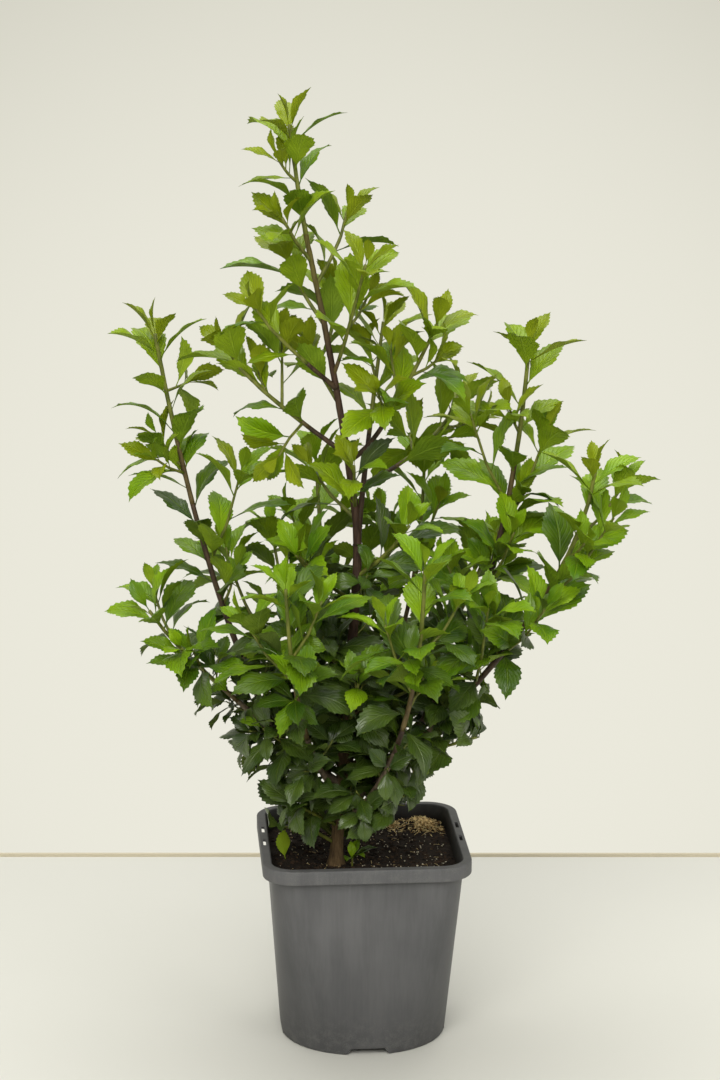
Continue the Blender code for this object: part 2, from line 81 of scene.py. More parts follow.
GROOVE_FOOT, GROOVE_TOP, GROOVE_RISE, GROOVE_START = 37.0, 28.0, 6.0, 24.0
HUMP_END = BODY_FOOT[0] - WALL / 2
OUTSIDE = 90.0
DRAIN_AT, DRAIN_RADIUS, DRAIN_SIDES = 44.0, 4.5, 28
POT_SHARP = 32.0  # degrees between faces whose edge stays sharp
UP = Vector((0, 0, 1))


class Wire:
    """A socket in a material's nodes: sums on it add Math nodes, and node() adds any other."""

    def __init__(self, tree, socket=None):
        self.tree = tree
        self.socket = socket

    def node(self, kind, settings=(), sockets=(), output=0):
        made = self.tree.nodes.new("ShaderNode" + kind)
        for name, value in dict(settings).items():
            setattr(made, name, value)
        for name, value in dict(sockets).items():
            if isinstance(value, Wire):
                self.tree.links.new(value.socket, made.inputs[name])
            else:
                made.inputs[name].default_value = value
        return Wire(self.tree, made.outputs[output])

    def sum(self, operation, first, second):
        return self.node("Math", {"operation": operation}, {0: first, 1: second})

    def __add__(self, other):
        return self.sum("ADD", self, other)

    __radd__ = __add__

    def __mul__(self, other):
        return self.sum("MULTIPLY", self, other)

    __rmul__ = __mul__

    def __sub__(self, other):
        return self.sum("SUBTRACT", self, other)

    def __rsub__(self, other):
        return self.sum("SUBTRACT", other, self)

    def rise(self, low, high):
        """0 below low, 1 above high, smooth between."""
        sockets = {"Value": self, "From Min": low, "From Max": high}
        return self.node("MapRange", {"interpolation_type": "SMOOTHSTEP"}, sockets)

    def mix(self, zero, one):
        """The colour zero where this is 0, and one where it is 1."""
        settings = {"data_type": "RGBA"}
        colours = {name: (*c, 1) if isinstance(c, tuple) else c for name, c in ((6, zero), (7, one))}
        return self.node("Mix", settings, {0: self, **colours}, 2)

    def cloud(self, scale, detail=3.0, stretch=(1, 1, 1), roughness=0.5):
        """Noise in the object's own space, drawn out along an axis by stretch."""
        place = self.node("TexCoord", output="Object")
        factors = {0: place, 1: tuple(1 / s for s in stretch)}
        place = self.node("VectorMath", {"operation": "MULTIPLY"}, factors)
        sockets = {"Vector": place, "Scale": scale, "Detail": detail, "Roughness": roughness}
        return self.node("TexNoise", {}, sockets)


class Finish:
    """A material whose Principled shader takes plain numbers, and wires for what varies."""

    def __init__(self, name, **plain):
        self.material = bpy.data.materials.new(name)
        self.material.use_nodes = True
        self.tree = self.material.node_tree
        self.shader = self.tree.nodes["Principled BSDF"]
        self.wire = Wire(self.tree)
        for socket, value in plain.items():
            self.shader.inputs[socket.replace("_", " ")].default_value = value

    def vary(self, socket, wire):
        self.tree.links.new(wire.socket, self.shader.inputs[socket])

    def bump(self, height, distance, strength=1.0):
        sockets = {"Height": height, "Distance": distance, "Strength": strength}
        self.vary("Normal", self.wire.node("Bump", {}, sockets))


def put(name, data):
    """An object in the scene."""
    item = bpy.data.objects.new(name, data)
    bpy.context.collection.objects.link(item)
    return item


def mesh_of(name, verts, faces, materials=()):
    """A mesh of points and faces, with its materials."""
    mesh = bpy.data.meshes.new(name)
    mesh.from_pydata([tuple(v) for v in verts], [], faces)
    mesh.validate()
    for material in materials:
        mesh.materials.append(material)
    return mesh


def show(name, verts, faces, materials, smooth=math.radians(40)):
    """A piece of the object that rides on its one body."""
    mesh = mesh_of(name, verts, faces, materials)
    mesh.shade_smooth()
    if smooth:
        mesh.set_sharp_from_angle(angle=smooth)
    item = put(name, mesh)
    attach(item, "root")
    return item


def loft(rings):
    """Skin over rings of equal count, anticlockwise from above, with the first and last capped."""
    count = len(rings[0])
    verts = [point for ring in rings for point in ring]
    faces = [tuple(reversed(range(count)))]
    for level in range(len(rings) - 1):
        low, high = level * count, (level + 1) * count
        for i in range(count):
            j = (i + 1) % count
            faces.append((low + i, low + j, high + j, high + i))
    faces.append(tuple(range(len(verts) - count, len(verts))))
    return verts, faces


def square_ring(half, corner, z, steps=CORNER_STEPS):
    """A level square with round corners."""
    away = (half - corner) * math.sqrt(2)
    points = []
    for quarter in range(4):
        middle = math.radians(90 * quarter + 45)
        for step in range(steps + 1):
            turn = math.radians(90 * (quarter + step / steps))
            x = away * math.cos(middle) + corner * math.cos(turn)
            y = away * math.sin(middle) + corner * math.sin(turn)
            points.append(Vector((x, y, z)) * MM)
    return points


def body_ring(z, inset=0.0, steps=CORNER_STEPS):
    """The pot body's outline at a height, drawn in by inset."""
    share = z / POT_HEIGHT
    half, corner = (foot + (top - foot) * share for foot, top in zip(BODY_FOOT, BODY_TOP))
    return square_ring(half - inset, corner - inset, z, steps)


def rim_ring(z, inset):
    """The rim's outline at a height, drawn in by inset."""
    return square_ring(RIM_HALF - inset, RIM_CORNER - inset, z)


def toward(turn):
    """A level unit vector at an angle."""
    return Vector((math.cos(turn), math.sin(turn), 0))


def arc(start, end, count):
    """Cosines and sines of even steps from one angle to another, in degrees."""
    turns = [math.radians(start + (end - start) * i / count) for i in range(count + 1)]
    return [(math.cos(turn), math.sin(turn)) for turn in turns]


def bar(start, end, foot, top, low, high, quarter=0):
    """A bar along a radius, of one width below and another above, turned to one of four sides."""
    turn = Quaternion(UP, math.radians(90 * quarter))
    rings = []
    for z, width in ((low, foot), (high, top)):
        half = width / 2
        corners = ((start, -half), (end, -half), (end, half), (start, half))
        rings.append([turn @ Vector((x, y, z)) * MM for x, y in corners])
    return loft(rings)


def groove(side, grow, end, low):
    """The bar of one drainage groove, grown on every face."""
    slope = (GROOVE_FOOT - GROOVE_TOP) / GROOVE_RISE
    high = GROOVE_RISE + grow
    foot, top = (GROOVE_FOOT - slope * z + 2 * grow for z in (low, high))
    return bar(GROOVE_START - grow, end, foot, top, low, high, side)


def drain(side):
    """A round hole through the roof of a groove."""
    middle = toward(math.radians(90 * side)) * DRAIN_AT
    circle = [Vector((c, s, 0)) * DRAIN_RADIUS for c, s in arc(0, 360, DRAIN_SIDES)[:-1]]
    ends = GROOVE_RISE - 1, GROOVE_RISE + FLOOR + 1
    return loft([[(middle + UP * z + point) * MM for point in circle] for z in ends])


def slot(x, y):
    """A slot for a label through the top of the rim."""
    shape = SLOT_LENGTH, SLOT_LENGTH, POT_HEIGHT - RIM_DROP, POT_HEIGHT + 1
    verts, faces = bar(-SLOT_WIDTH / 2, SLOT_WIDTH / 2, *shape)
    return [v + Vector((x, y, 0)) * MM for v in verts], faces


def combine(item, operation, shapes):
    """Cuts or joins item with all the shapes in one Boolean, and applies it."""
    group = bpy.data.collections.new("tools")
    bpy.context.scene.collection.children.link(group)
    for shape in shapes:
        group.objects.link(bpy.data.objects.new("tool", mesh_of("tool", *shape)))
    change = item.modifiers.new("combine", "BOOLEAN")
    change.operation = operation
    change.operand_type = "COLLECTION"
    change.collection = group
    change.solver = "EXACT"
    graph = bpy.context.evaluated_depsgraph_get()
    mesh = bpy.data.meshes.new_from_object(item.evaluated_get(graph))
    item.modifiers.clear()
    materials = list(item.data.materials)
    item.data = mesh
    mesh.materials.clear()
    for material in materials:
        mesh.materials.append(material)
    for other in list(group.objects):
        bpy.data.objects.remove(other)
    bpy.data.collections.remove(group)


plastic = Finish("pot_plastic", IOR=1.49, Specular_IOR_Level=0.28)
streak = plastic.wire.cloud(55, 4, (1, 1, 9))
scratch = plastic.wire.cloud(430, 3, (1, 1, 18), 0.6)
cloudy = plastic.wire.cloud(16, 3)
speck = plastic.wire.cloud(900, 2)
place = plastic.wire.node("NewGeometry")
height = plastic.wire.node("SeparateXYZ", {}, {0: place}, 2)
flat = plastic.wire.node("VectorMath", {"operation": "MULTIPLY"}, {0: place, 1: (1, 1, 0)})
normal = plastic.wire.node("NewGeometry", output=1)
facing = plastic.wire.node("VectorMath", {"operation": "DOT_PRODUCT"}, {0: flat, 1: normal}, 1)
inside = 1 - facing.rise(-0.03, -0.01)
rim = height.rise(0.157, 0.160)
dusty = (1 - height.rise(0.0, 0.05)) * 0.3 + rim * 0.3
shade = (streak * 0.42 + cloudy * 0.38 + scratch * 0.20).rise(0.30, 0.70)
grey = shade.mix((0.087, 0.088, 0.093), (0.136, 0.136, 0.142))
# Darker towards the foot: painted shade low on the pot.
grey = (0.46 - height.rise(-0.03, 0.13) * 0.46).mix(grey, (0.02, 0.02, 0.02))
grit = plastic.wire.cloud(140, 5) * 0.5 + plastic.wire.cloud(1100, 3) * 0.5
worn = (grit.rise(0.44, 0.62) * dusty).mix(grey, (0.18, 0.18, 0.172))
# The pot's inside wall is painted near-black: painted shade in its hollow, deepest below the lip.
painted_shade_line = 1 - (height + plastic.wire.cloud(60, 4) * 0.012).rise(0.163, 0.177)
painted_inner_shade = (inside * (0.45 + painted_shade_line * 0.5)).mix(worn, (0.016, 0.014, 0.010))
plastic.vary("Base Color", painted_inner_shade)
plastic.vary("Roughness", 0.42 + shade * 0.12 + dusty * 0.2 + inside * 0.3)
plastic.bump(speck + streak * 2, 0.00006, 0.35)

rim_under = POT_HEIGHT - WALL
skirt_foot = POT_HEIGHT - RIM_DROP + SKIRT_ROUND
wall_rise = rim_under - UNDER_RIM - FOOT_ROUND
foot = [body_ring(FOOT_ROUND * (1 - s), FOOT_ROUND * (1 - c)) for c, s in arc(90, 0, 5)]
body = [body_ring(FOOT_ROUND + wall_rise * i / BODY_RINGS) for i in range(1, BODY_RINGS + 1)]
cove = [body_ring(rim_under - COVE * (1 - s), -COVE * (1 - c)) for c, s in arc(0, 80, 4)]
skirt = [rim_ring(rim_under, WALL), rim_ring(skirt_foot, WALL)]
skirt += [rim_ring(skirt_foot + s * SKIRT_ROUND, WALL / 2 - c * WALL / 2) for c, s in arc(180, 360, 8)]
skirt.append(rim_ring(POT_HEIGHT - RIM_DROP / 2, 0.0))
skirt += [rim_ring(POT_HEIGHT - LIP_ROUND * (1 - s), LIP_ROUND * (1 - c)) for c, s in arc(0, 90, 5)]
lip = [body_ring(POT_HEIGHT - LIP_ROUND * (1 - s), WALL - LIP_ROUND * (1 - c)) for c, s in arc(90, 0, 5)]
inner = [body_ring(z, WALL) for z in (150, 110, 70, 35, FLOOR + 2)]
inner.append(body_ring(FLOOR, WALL + 2))
pot = show("pot_wall", *loft(foot + body + cove + skirt + lip + inner), [plastic.material])
combine(pot, "UNION", [groove(side, FLOOR, HUMP_END, 1.0) for side in range(4)])
cuts = [groove(side, 0.0, OUTSIDE, -1.0) for side in range(4)]
combine(pot, "DIFFERENCE", cuts + [drain(side) for side in range(4)] + [slot(*at) for at in SLOT_AT])
pot.data.shade_smooth()
pot.data.set_sharp_from_angle(angle=math.radians(POT_SHARP))
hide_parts("pot")

# Compost: dark peat and fine bark that fills the pot to just under its rim, settled and uneven,
# with crumbs and pale mineral specks on it. It stands a little higher at the back right.
COMPOST_FOOT, COMPOST_EDGE, COMPOST_TOP = 9.0, 153.5, 156.0
GAP = 0.3  # between the compost and the pot's wall
SURFACE_RINGS, SURFACE_STEPS = 90, 22
HEAP, HEAP_AT, HEAP_WIDE, HEAP_DEEP = 7.0, (50.0, 68.0), 26.0, 18.0
COMPOST_CORNER = 18.0  # radius of the corners of the area strewn with bits
CRUMBS, SPECKS = 1700, 340
dice = random.Random(7)


def surface(x, y):
    """Height of the compost over a point, all in millimetres."""
    edge = max(abs(x), abs(y)) / BODY_TOP[0]
    swell = noise.noise(Vector((x, y, 0)) * 0.028) * 1.3
    lumps = noise.fractal(Vector((x, y, 5)) * 0.16, 0.8, 2.1, 4) * 0.95
    heap = HEAP * math.exp(-(((x - HEAP_AT[0]) / HEAP_WIDE) ** 2) - ((y - HEAP_AT[1]) / HEAP_DEEP) ** 2)
    level = COMPOST_EDGE + (COMPOST_TOP - COMPOST_EDGE) * (1 - edge**4)
    return level + (swell + lumps) * (1 - edge**6) + heap * (1 - edge**14)


*rings, edge = (
    body_ring(z, WALL + GAP, SURFACE_STEPS) for z in (COMPOST_FOOT, COMPOST_EDGE - 4, COMPOST_EDGE)
)
for i in range(SURFACE_RINGS):
    share = 1 - i / SURFACE_RINGS
    ring = []
    for point in edge:
        x, y = point.x / MM * share, point.y / MM * share
        ring.append(Vector((x, y, surface(x, y))) * MM)
    rings.append(ring)
verts, faces = loft(rings)

peat = Finish("compost_peat", Specular_IOR_Level=0.25)
damp = peat.wire.cloud(70, 4)
crumb = peat.wire.cloud(420, 5, roughness=0.7)
dark = (crumb * 0.7 + damp * 0.3).rise(0.3, 0.75)
peat.vary("Base Color", dark.mix((0.007, 0.005, 0.004), (0.036, 0.023, 0.015)))
peat.vary("Roughness", 0.98 - damp.rise(0.5, 0.8) * 0.35)
peat.bump(crumb, 0.0012, 0.9)
compost = show("compost_bed", verts, faces, [peat.material], None)
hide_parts("compost")


def twenty_faces():
    """Corners and faces of a regular body of twenty triangles with edges of 2."""
    corners = []
    for a in (-1, 1):
        for b in (-(1 + math.sqrt(5)) / 2, (1 + math.sqrt(5)) / 2):
            corners += [Vector((0, a, b)), Vector((a, b, 0)), Vector((b, 0, a))]
    hull = []
    for i, j, k in combinations(range(12), 3):
        p, q, r = corners[i], corners[j], corners[k]
        if max((p - q).length, (q - r).length, (p - r).length) < 2.1:
            outward = (q - p).cross(r - p).dot(p + q + r) > 0
            hull.append((i, j, k) if outward else (i, k, j))
    return corners, hull


CRUMB_CORNERS, CRUMB_FACES = twenty_faces()


def pebble(middle, size, flat=0.7):
    """An uneven crumb of twenty faces."""
    axis = Vector((dice.gauss(0, 1), dice.gauss(0, 1), dice.gauss(0, 1))).normalized()
    turn = Quaternion(axis, dice.uniform(0, 6))
    points = []
    for corner in CRUMB_CORNERS:
        point = turn @ (corner.normalized() * dice.uniform(0.75, 1.15))
        points.append(middle + Vector((point.x, point.y, point.z * flat)) * size)
    return points, CRUMB_FACES


def gather(shapes):
    """Several shapes as one list of points and faces."""
    verts, faces = [], []
    for points, hull in shapes:
        start = len(verts)
        verts += points
        faces += [tuple(start + i for i in face) for face in hull]
    return verts, faces


def on_compost(margin=5.0):
    """A random place on the compost, in millimetres, inside its round corners."""
    reach = BODY_TOP[0] - WALL - margin
    while True:
        x, y = dice.uniform(-reach, reach), dice.uniform(-reach, reach)
        beyond = [abs(way) - reach + COMPOST_CORNER for way in (x, y)]
        if min(beyond) < 0 or math.hypot(*beyond) <= COMPOST_CORNER:
            return x, y


crumbs = []
for _ in range(CRUMBS):
    x, y = on_compost()
    size = dice.uniform(0.5, 1.1) ** 2 * 2.0
    crumbs.append(pebble(Vector((x, y, surface(x, y) + size * 0.1)) * MM, size * MM))
bark_bits = Finish("compost_bark_bits", Roughness=0.9, Specular_IOR_Level=0.3)
tint = bark_bits.wire.cloud(160, 2).rise(0.35, 0.7)
bark_bits.vary("Base Color", tint.mix((0.009, 0.006, 0.004), (0.046, 0.027, 0.015)))
piece = show("compost_crumbs", *gather(crumbs), [bark_bits.material], None)

specks = []
for _ in range(SPECKS):
    x, y = on_compost(8)
    if dice.random() > 0.35 + 0.65 * (x > 5):
        continue
    size = dice.uniform(0.35, 0.9)
    specks.append(pebble(Vector((x, y, surface(x, y) + size * 0.7)) * MM, size * MM, 0.9))
mineral = Finish("compost_mineral_specks", Roughness=0.7)
mineral.vary("Base Color", mineral.wire.cloud(200, 1).mix((0.42, 0.36, 0.24), (0.62, 0.58, 0.46)))
piece = show("compost_specks", *gather(specks), [mineral.material], None)

# Fibres: flat tan slivers of wood, in two loose mats at the back right, and single ones all over
# the compost. They only rest on it.
FIBRE_MATS = ((29.0, 61.0, 10.0, 10.0, 190), (58.0, 60.0, 16.0, 14.0, 520))  # x, y, half sizes, count
MAT_EDGE = 74.0  # from the pot's axis
LOOSE_FIBRES = 90


def sliver(x, y, lift, length, heading, width=0.35):
    """A flat fibre of wood, bent a little, that lies on the compost."""
    way = toward(heading)
    side = Vector((-way.y, way.x, 0)) * width
    tilt = dice.uniform(-0.25, 0.35)
    points = []
    for i in range(4):
        t = i / 3
        middle = Vector((x, y, surface(x, y) + lift)) + way * length * (t - 0.5)
        middle += UP * (length * tilt * (t - 0.5) + 0.5 * math.sin(t * math.pi))
        for corner in (side, UP * width * 0.6, -side, -UP * width * 0.6):
            points.append((middle + corner * (1 - 0.6 * abs(2 * t - 1))) * MM)
    return loft([points[i : i + 4] for i in range(0, 16, 4)])


fibres = []
for x, y, wide, deep, count in FIBRE_MATS:
    for _ in range(count):
        turn, away = dice.uniform(0, math.tau), abs(dice.gauss(0, 0.65))
        right, back = x + wide * away * math.cos(turn), y + deep * away * math.sin(turn)
        lift, length = dice.uniform(0.6, 3.6) * max(0.2, 1.1 - away), dice.uniform(3, 9)
        at = min(MAT_EDGE, right), min(MAT_EDGE, back), lift
        fibres.append(sliver(*at, length, dice.uniform(0, math.tau), 0.5))
for _ in range(LOOSE_FIBRES):
    x, y = on_compost(10)
    fibres.append(sliver(x, y, 0.5, dice.uniform(3, 7), dice.uniform(0, math.tau), 0.25))
straw = Finish("compost_fibre", Roughness=0.75)
tint = straw.wire.cloud(420, 2).rise(0.38, 0.62)
straw.vary("Base Color", tint.mix((0.26, 0.14, 0.035), (1.0, 0.80, 0.40)))
piece = show("compost_fibres", *gather(fibres), [straw.material], None)

# Trunk: one main stem that rises from a small root flare in the compost to the leader. Its bark
# has fine upright cracks, and is brown at the foot, purple-brown above and olive near the tip.
TRUNK = (  # height, x, y, radius
    (156.3, -24.6, -28.3, 5.6),
    (300.0, -14.0, -23.5, 4.8),
    (430.0, -5.0, -14.7, 3.8),
    (510.0, -13.7, -9.0, 3.2),
    (605.0, -29.5, -1.9, 2.8),
    (703.0, -48.5, 3.5, 2.3),
    (787.0, -60.2, 4.5, 1.7),
)
TRUNK_TIP = 688.0
TRUNK_SIDES, TRUNK_STEP = 30, 2.2
FLARE, FLARE_RISE, FLARE_LOBES, LOBE_DEPTH = 0.42, 9.0, 5, 0.35


def at_height(height):
    """The trunk's axis and radius at a height, on a smooth curve through its stations."""
    last = len(TRUNK) - 1
    i = max(k for k in range(last) if TRUNK[k][0] <= height or k == 0)
    before, low, high, after = (TRUNK[min(max(k, 0), last)] for k in (i - 1, i, i + 1, i + 2))
    rise = high[0] - low[0]
    t = (height - low[0]) / rise
    found = []
    for k in (1, 2, 3):
        enter = (high[k] - before[k]) / (high[0] - before[0]) * rise
        leave = (after[k] - low[k]) / (after[0] - low[0]) * rise
        ends = (2 * t**3 - 3 * t**2 + 1) * low[k] + (3 * t**2 - 2 * t**3) * high[k]
        found.append(ends + (t**3 - 2 * t**2 + t) * enter + (t**3 - t**2) * leave)
    return Vector((found[0], found[1], height)) * MM, found[2]


def trunk_skin(heights, count, relief=None):
    """The trunk through the given heights, with the lobes of its root flare."""
    rings = []
    for height in heights:
        middle, radius = at_height(height)
        flare = FLARE * math.exp(-(height - TRUNK[0][0]) / FLARE_RISE)
        ring = []
        for i in range(count):
            turn = math.tau * i / count
            lobe = 1 + flare * (1 + LOBE_DEPTH * math.cos(FLARE_LOBES * turn))
            out = toward(turn)
            point = middle + out * radius * lobe * MM
            ring.append(point + out * relief(point) if relief else point)
        rings.append(ring)
    return loft(rings)


def bark_relief(point):
    """Depth of the bark's cracks and swellings at a point, in metres."""
    place = point / MM
    cracks = noise.noise(Vector((place.x * 0.9, place.y * 0.9, place.z * 0.16)))
    swelling = noise.noise(place * 0.07)
    fine = noise.noise(place * 0.8)
    return (0.22 * cracks + 0.3 * swelling + 0.09 * fine - 0.25) * MM


heights = [TRUNK[0][0] - 1.5]
while heights[-1] < TRUNK_TIP - 2:
    heights.append(heights[-1] + TRUNK_STEP)
bark = Finish("trunk_bark", Specular_IOR_Level=0.25)
crack = bark.wire.cloud(520, 5, (1, 1, 7), 0.65)
patch = bark.wire.cloud(60, 3, (1, 1, 2))
tone = (crack * 0.65 + patch * 0.35).rise(0.32, 0.7)
place = bark.wire.node("TexCoord", output="Object")
up = bark.wire.node("SeparateXYZ", {}, {0: place}, 2)
youth = (up + patch * 0.06).rise(0.25, 0.37)
old_bark = tone.mix((0.050, 0.031, 0.016), (0.21, 0.137, 0.064))
young_bark = tone.mix((0.030, 0.016, 0.011), (0.095, 0.054, 0.034))
turning_bark = tone.mix((0.074, 0.062, 0.014), (0.175, 0.150, 0.036))
bark.vary("Base Color", up.rise(0.57, 0.69).mix(youth.mix(old_bark, young_bark), turning_bark))
bark.vary("Roughness", 0.92 - patch * 0.15 - youth * 0.2)
bark.bump(crack, 0.0006, 0.8)
trunk = show("trunk_bark", *trunk_skin(heights, TRUNK_SIDES, bark_relief), [bark.material])
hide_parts("trunk")

# Boughs: smooth young limbs, grey-brown low down and purple-brown above, dotted with pale pores.
# They grow out of the trunk with a collar at the foot, and are bare up to their foliage.
LIMBS = {  # start, heading, reach, height of tip, spread, climb, radius of foot and tip, bare share
    "left_tall": (200, 163, 155, 604, 0.62, 0.19, 3.3, 1.8, 0.36),
    "left_low": (226, 190, 161, 388, 0.85, 0.73, 2.9, 1.5, 0.52),
    "left_mid": (506, 181, 100, 599, 0.90, 0.70, 2.3, 1.5, 0.28),
    "left_upper": (561, 203, 73, 634, 0.88, 0.73, 2.1, 1.4, 0.34),
    "right_tall": (214, 6, 158, 594, 0.86, 0.19, 3.7, 1.8, 0.42),
    "right_low": (203, 341, 213, 508, 0.94, 0.60, 3.5, 1.7, 0.40),
    "right_upper": (502, 341, 75, 618, 0.31, 0.03, 2.3, 1.5, 0.33),
    "right_mid": (477, 44, 136, 537, 0.84, 0.26, 2.3, 1.5, 0.35),
    "second_leader": (430, 42, 31, 614, 0.35, 0.45, 2.7, 1.5, 0.50),
    "front_left": (218, 242, 106, 421, 0.88, 0.28, 2.8, 1.6, 0.40),
    "front_right": (190, 299, 127, 440, 0.96, 0.31, 2.9, 1.7, 0.42),
    "back_left": (250, 96, 139, 484, 0.59, 0.28, 2.7, 1.5, 0.45),
    "back_right": (236, 58, 152, 476, 0.95, 0.30, 2.7, 1.5, 0.48),
    "back_far": (224, 78, 165, 420, 0.80, 0.45, 2.7, 1.5, 0.48),
    "back_side": (262, 31, 150, 415, 0.85, 0.45, 2.6, 1.5, 0.48),
}
OLD_START = 300.0  # limbs that start below this have old bark
COLLAR, COLLAR_LENGTH = 0.55, 5.0
BOUGH_SIDES, BOUGH_STEP = 16, 2.6


def bent(foot, out, rise, spread, climb, count):
    """Points on a limb that bends once between its foot and its tip."""
    bend = foot + out * spread + UP * rise * climb
    tip = foot + out + UP * rise
    shares = [i / (count - 1) for i in range(count)]
    return [(1 - t) ** 2 * foot + 2 * t * (1 - t) * bend + t * t * tip for t in shares]


def limb_axis(start, heading, reach, top, spread, climb):
    """A limb's axis, from the trunk's axis to the limb's tip."""
    out = toward(math.radians(heading)) * reach * MM
    return bent(at_height(start)[0], out, (top - start) * MM, spread, climb, 15)


def lengths(path):
    """Length along the path to each of its points."""
    run = [0.0]
    for a, b in zip(path, path[1:]):
        run.append(run[-1] + (b - a).length)
    return run


def along(path, distance):
    """Point and direction of a path at a distance along it."""
    run = lengths(path)
    i = max(k for k in range(len(path) - 1) if run[k] <= distance or k == 0)
    step = path[i + 1] - path[i]
    return path[i] + step * ((distance - run[i]) / step.length), step.normalized()


def stretch(path, low, high, step):
    """The part of a path between two distances, in even steps."""
    count = max(2, round((high - low) / (step * MM)) + 1)
    return [along(path, low + (high - low) * i / (count - 1))[0] for i in range(count)]


def tube(path, foot, tip, count=3, relief=None, collar=0.0):
    """A tapering limb, cut square at both ends. Its foot may swell into a collar."""
    rings, run, last = [], lengths(path), len(path) - 1
    normal = (path[1] - path[0]).orthogonal()
    for i, point in enumerate(path):
        tangent = (path[min(i + 1, last)] - path[max(i - 1, 0)]).normalized()
        normal = (normal - tangent * normal.dot(tangent)).normalized()
        other = tangent.cross(normal)
        radius = (foot + (tip - foot) * i / last) * MM
        radius *= 1 + collar * math.exp(-run[i] / (COLLAR_LENGTH * MM))
        ring = []
        for k in range(count):
            turn = math.tau * k / count
            out = normal * math.cos(turn) + other * math.sin(turn)
            at = point + out * radius
            ring.append(at + out * relief(at) if relief else at)
        rings.append(ring)
    return loft(rings)


def limb_relief(point):
    """Small swellings of a young limb, in metres."""
    place = point / MM
    return (0.16 * noise.noise(place * 0.12) + 0.07 * noise.noise(place * 0.6) - 0.12) * MM


def limb_finish(name, dark, light, rough):
    """Smooth bark with long streaks and pale pores."""
    made = Finish(name, Specular_IOR_Level=0.35)
    streaks = made.wire.cloud(230, 4, (1, 1, 3))
    pores = made.wire.cloud(1300, 1).rise(0.68, 0.76)
    body = streaks.rise(0.3, 0.7).mix(dark, light)
    made.vary("Base Color", (pores * 0.5).mix(body, (0.26, 0.2, 0.13)))
    made.vary("Roughness", rough + streaks * 0.15)
    made.bump(streaks + pores * 0.5, 0.0003, 0.5)
    return made.material


old_wood = limb_finish("old_wood", (0.075, 0.050, 0.032), (0.19, 0.145, 0.095), 0.68)
young_wood = limb_finish("young_wood", (0.028, 0.015, 0.009), (0.080, 0.048, 0.026), 0.5)
limbs = {"old": [], "young": []}
whole = {}
for name, (start, heading, reach, top, spread, climb, foot, tip, bare) in LIMBS.items():
    axis = limb_axis(start, heading, reach, top, spread, climb)
    run = lengths(axis)[-1]
    waist = foot + (tip - foot) * bare
    whole[name] = axis, run, run * bare, foot, waist, tip
    age = "old" if start < OLD_START else "young"
    path = stretch(axis, 0, run * bare, BOUGH_STEP)
    limbs[age].append(tube(path, foot, waist, BOUGH_SIDES, limb_relief, COLLAR))
for age, wood in (("old", old_wood), ("young", young_wood)):
    piece = show("boughs_" + age, *gather(limbs[age]), [wood], None)
    names = ["bough_" + name for name, row in LIMBS.items() if (row[0] < OLD_START) == (age == "old")]
    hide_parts(*names)

# Twigs: the stems inside the foliage, which carry on from the boughs and the trunk with side
# shoots and short spurs. They are purple-brown, and turn green towards their growing tips.
SPRAYS = {  # start, heading, reach, height of tip, spread, climb
    "top_right": (646, 38, 34, 703, 0.94, 0.63),
    "top_left": (665, 213, 29, 703, 0.25, 0.08),
    "upper_front": (572, 303, 43, 668, 0.20, 0.11),
    "upper_back": (597, 78, 45, 643, 1.00, 0.37),
    "upper_left": (613, 152, 35, 671, 0.90, 0.66),
    "mid_left": (548, 130, 34, 590, 0.60, 0.40),
    "mid_front": (462, 265, 36, 505, 0.60, 0.40),
    "mid_back": (452, 150, 42, 492, 0.60, 0.40),
    "mid_right": (404, 330, 48, 452, 0.60, 0.40),
    "inner_left": (382, 190, 52, 430, 0.60, 0.40),
    "back_mid": (240, 121, 105, 425, 0.70, 0.40),
    "back_outer": (264, 143, 120, 415, 0.80, 0.45),
}
LOW_SPRAYS = (
    (174, 196, 44, 204), (178, 130, 56, 208), (184, 22, 82, 222), (190, 225, 60, 226),
    (206, 100, 88, 262), (197, 316, 74, 234), (238, 212, 80, 290), (270, 275, 70, 334),
    (300, 12, 92, 352), (324, 218, 60, 376), (244, 330, 122, 284), (222, 36, 104, 276),
    (216, 150, 84, 268), (286, 344, 90, 334),
)  # the same, round the trunk's foot
for i, row in enumerate(LOW_SPRAYS):
    SPRAYS[f"low_{i + 1}"] = (*row, 0.60, 0.60 if i < 4 else 0.45)
SIDE_SHOOTS = {  # share of the limb's length, heading, reach, rise
    "left_tall": ((0.39, 203, 13, 47), (0.55, 5, 27, 77), (0.73, 219, 30, 16), (0.89, 50, 33, 4)),
    "left_low": ((0.85, 136, 23, 41), (0.67, 236, 22, 26)),
    "left_mid": ((0.33, 230, 33, -22), (0.49, 86, 15, 53)),
    "right_upper": ((0.50, 153, 8, 40), (0.38, 248, 32, 25)),
    "right_tall": ((0.63, 12, 38, 82), (0.69, 192, 33, 78), (0.53, 301, 35, 50), (0.46, 212, 31, 48)),
    "right_low": ((0.65, 341, 65, 84), (0.53, 305, 52, 50), (0.44, 274, 54, 79), (0.84, 20, 44, 42)),
    "right_mid": ((0.76, 11, 33, 6), (0.52, 89, 50, 6)),
    "front_left": ((0.65, 173, 39, 50), (0.74, 347, 25, 50)),
    "front_right": ((0.63, 194, 23, 59), (0.74, 9, 36, 47)),
    "back_left": ((0.61, 141, 35, 49), (0.72, 23, 22, 24)),
    "back_right": ((0.76, 320, 22, 39), (0.69, 175, 28, 49)),
    "back_far": ((0.62, 120, 34, 40), (0.75, 30, 30, 30)),
    "back_side": ((0.62, 75, 34, 40), (0.75, 350, 30, 30)),
}
SPRAY_FOOT, SPRAY_TIP = 1.9, 1.3
LEADER_TOP = 776.0  # height of the bud in the topmost rosette
LEADER_FOOT, LEADER_TIP = 2.3, 1.6
STEM_STEP, TWIG_STEP = 24.0, 5.0
TWIG_FOOT, TWIG_TIP = 1.5, 1.1
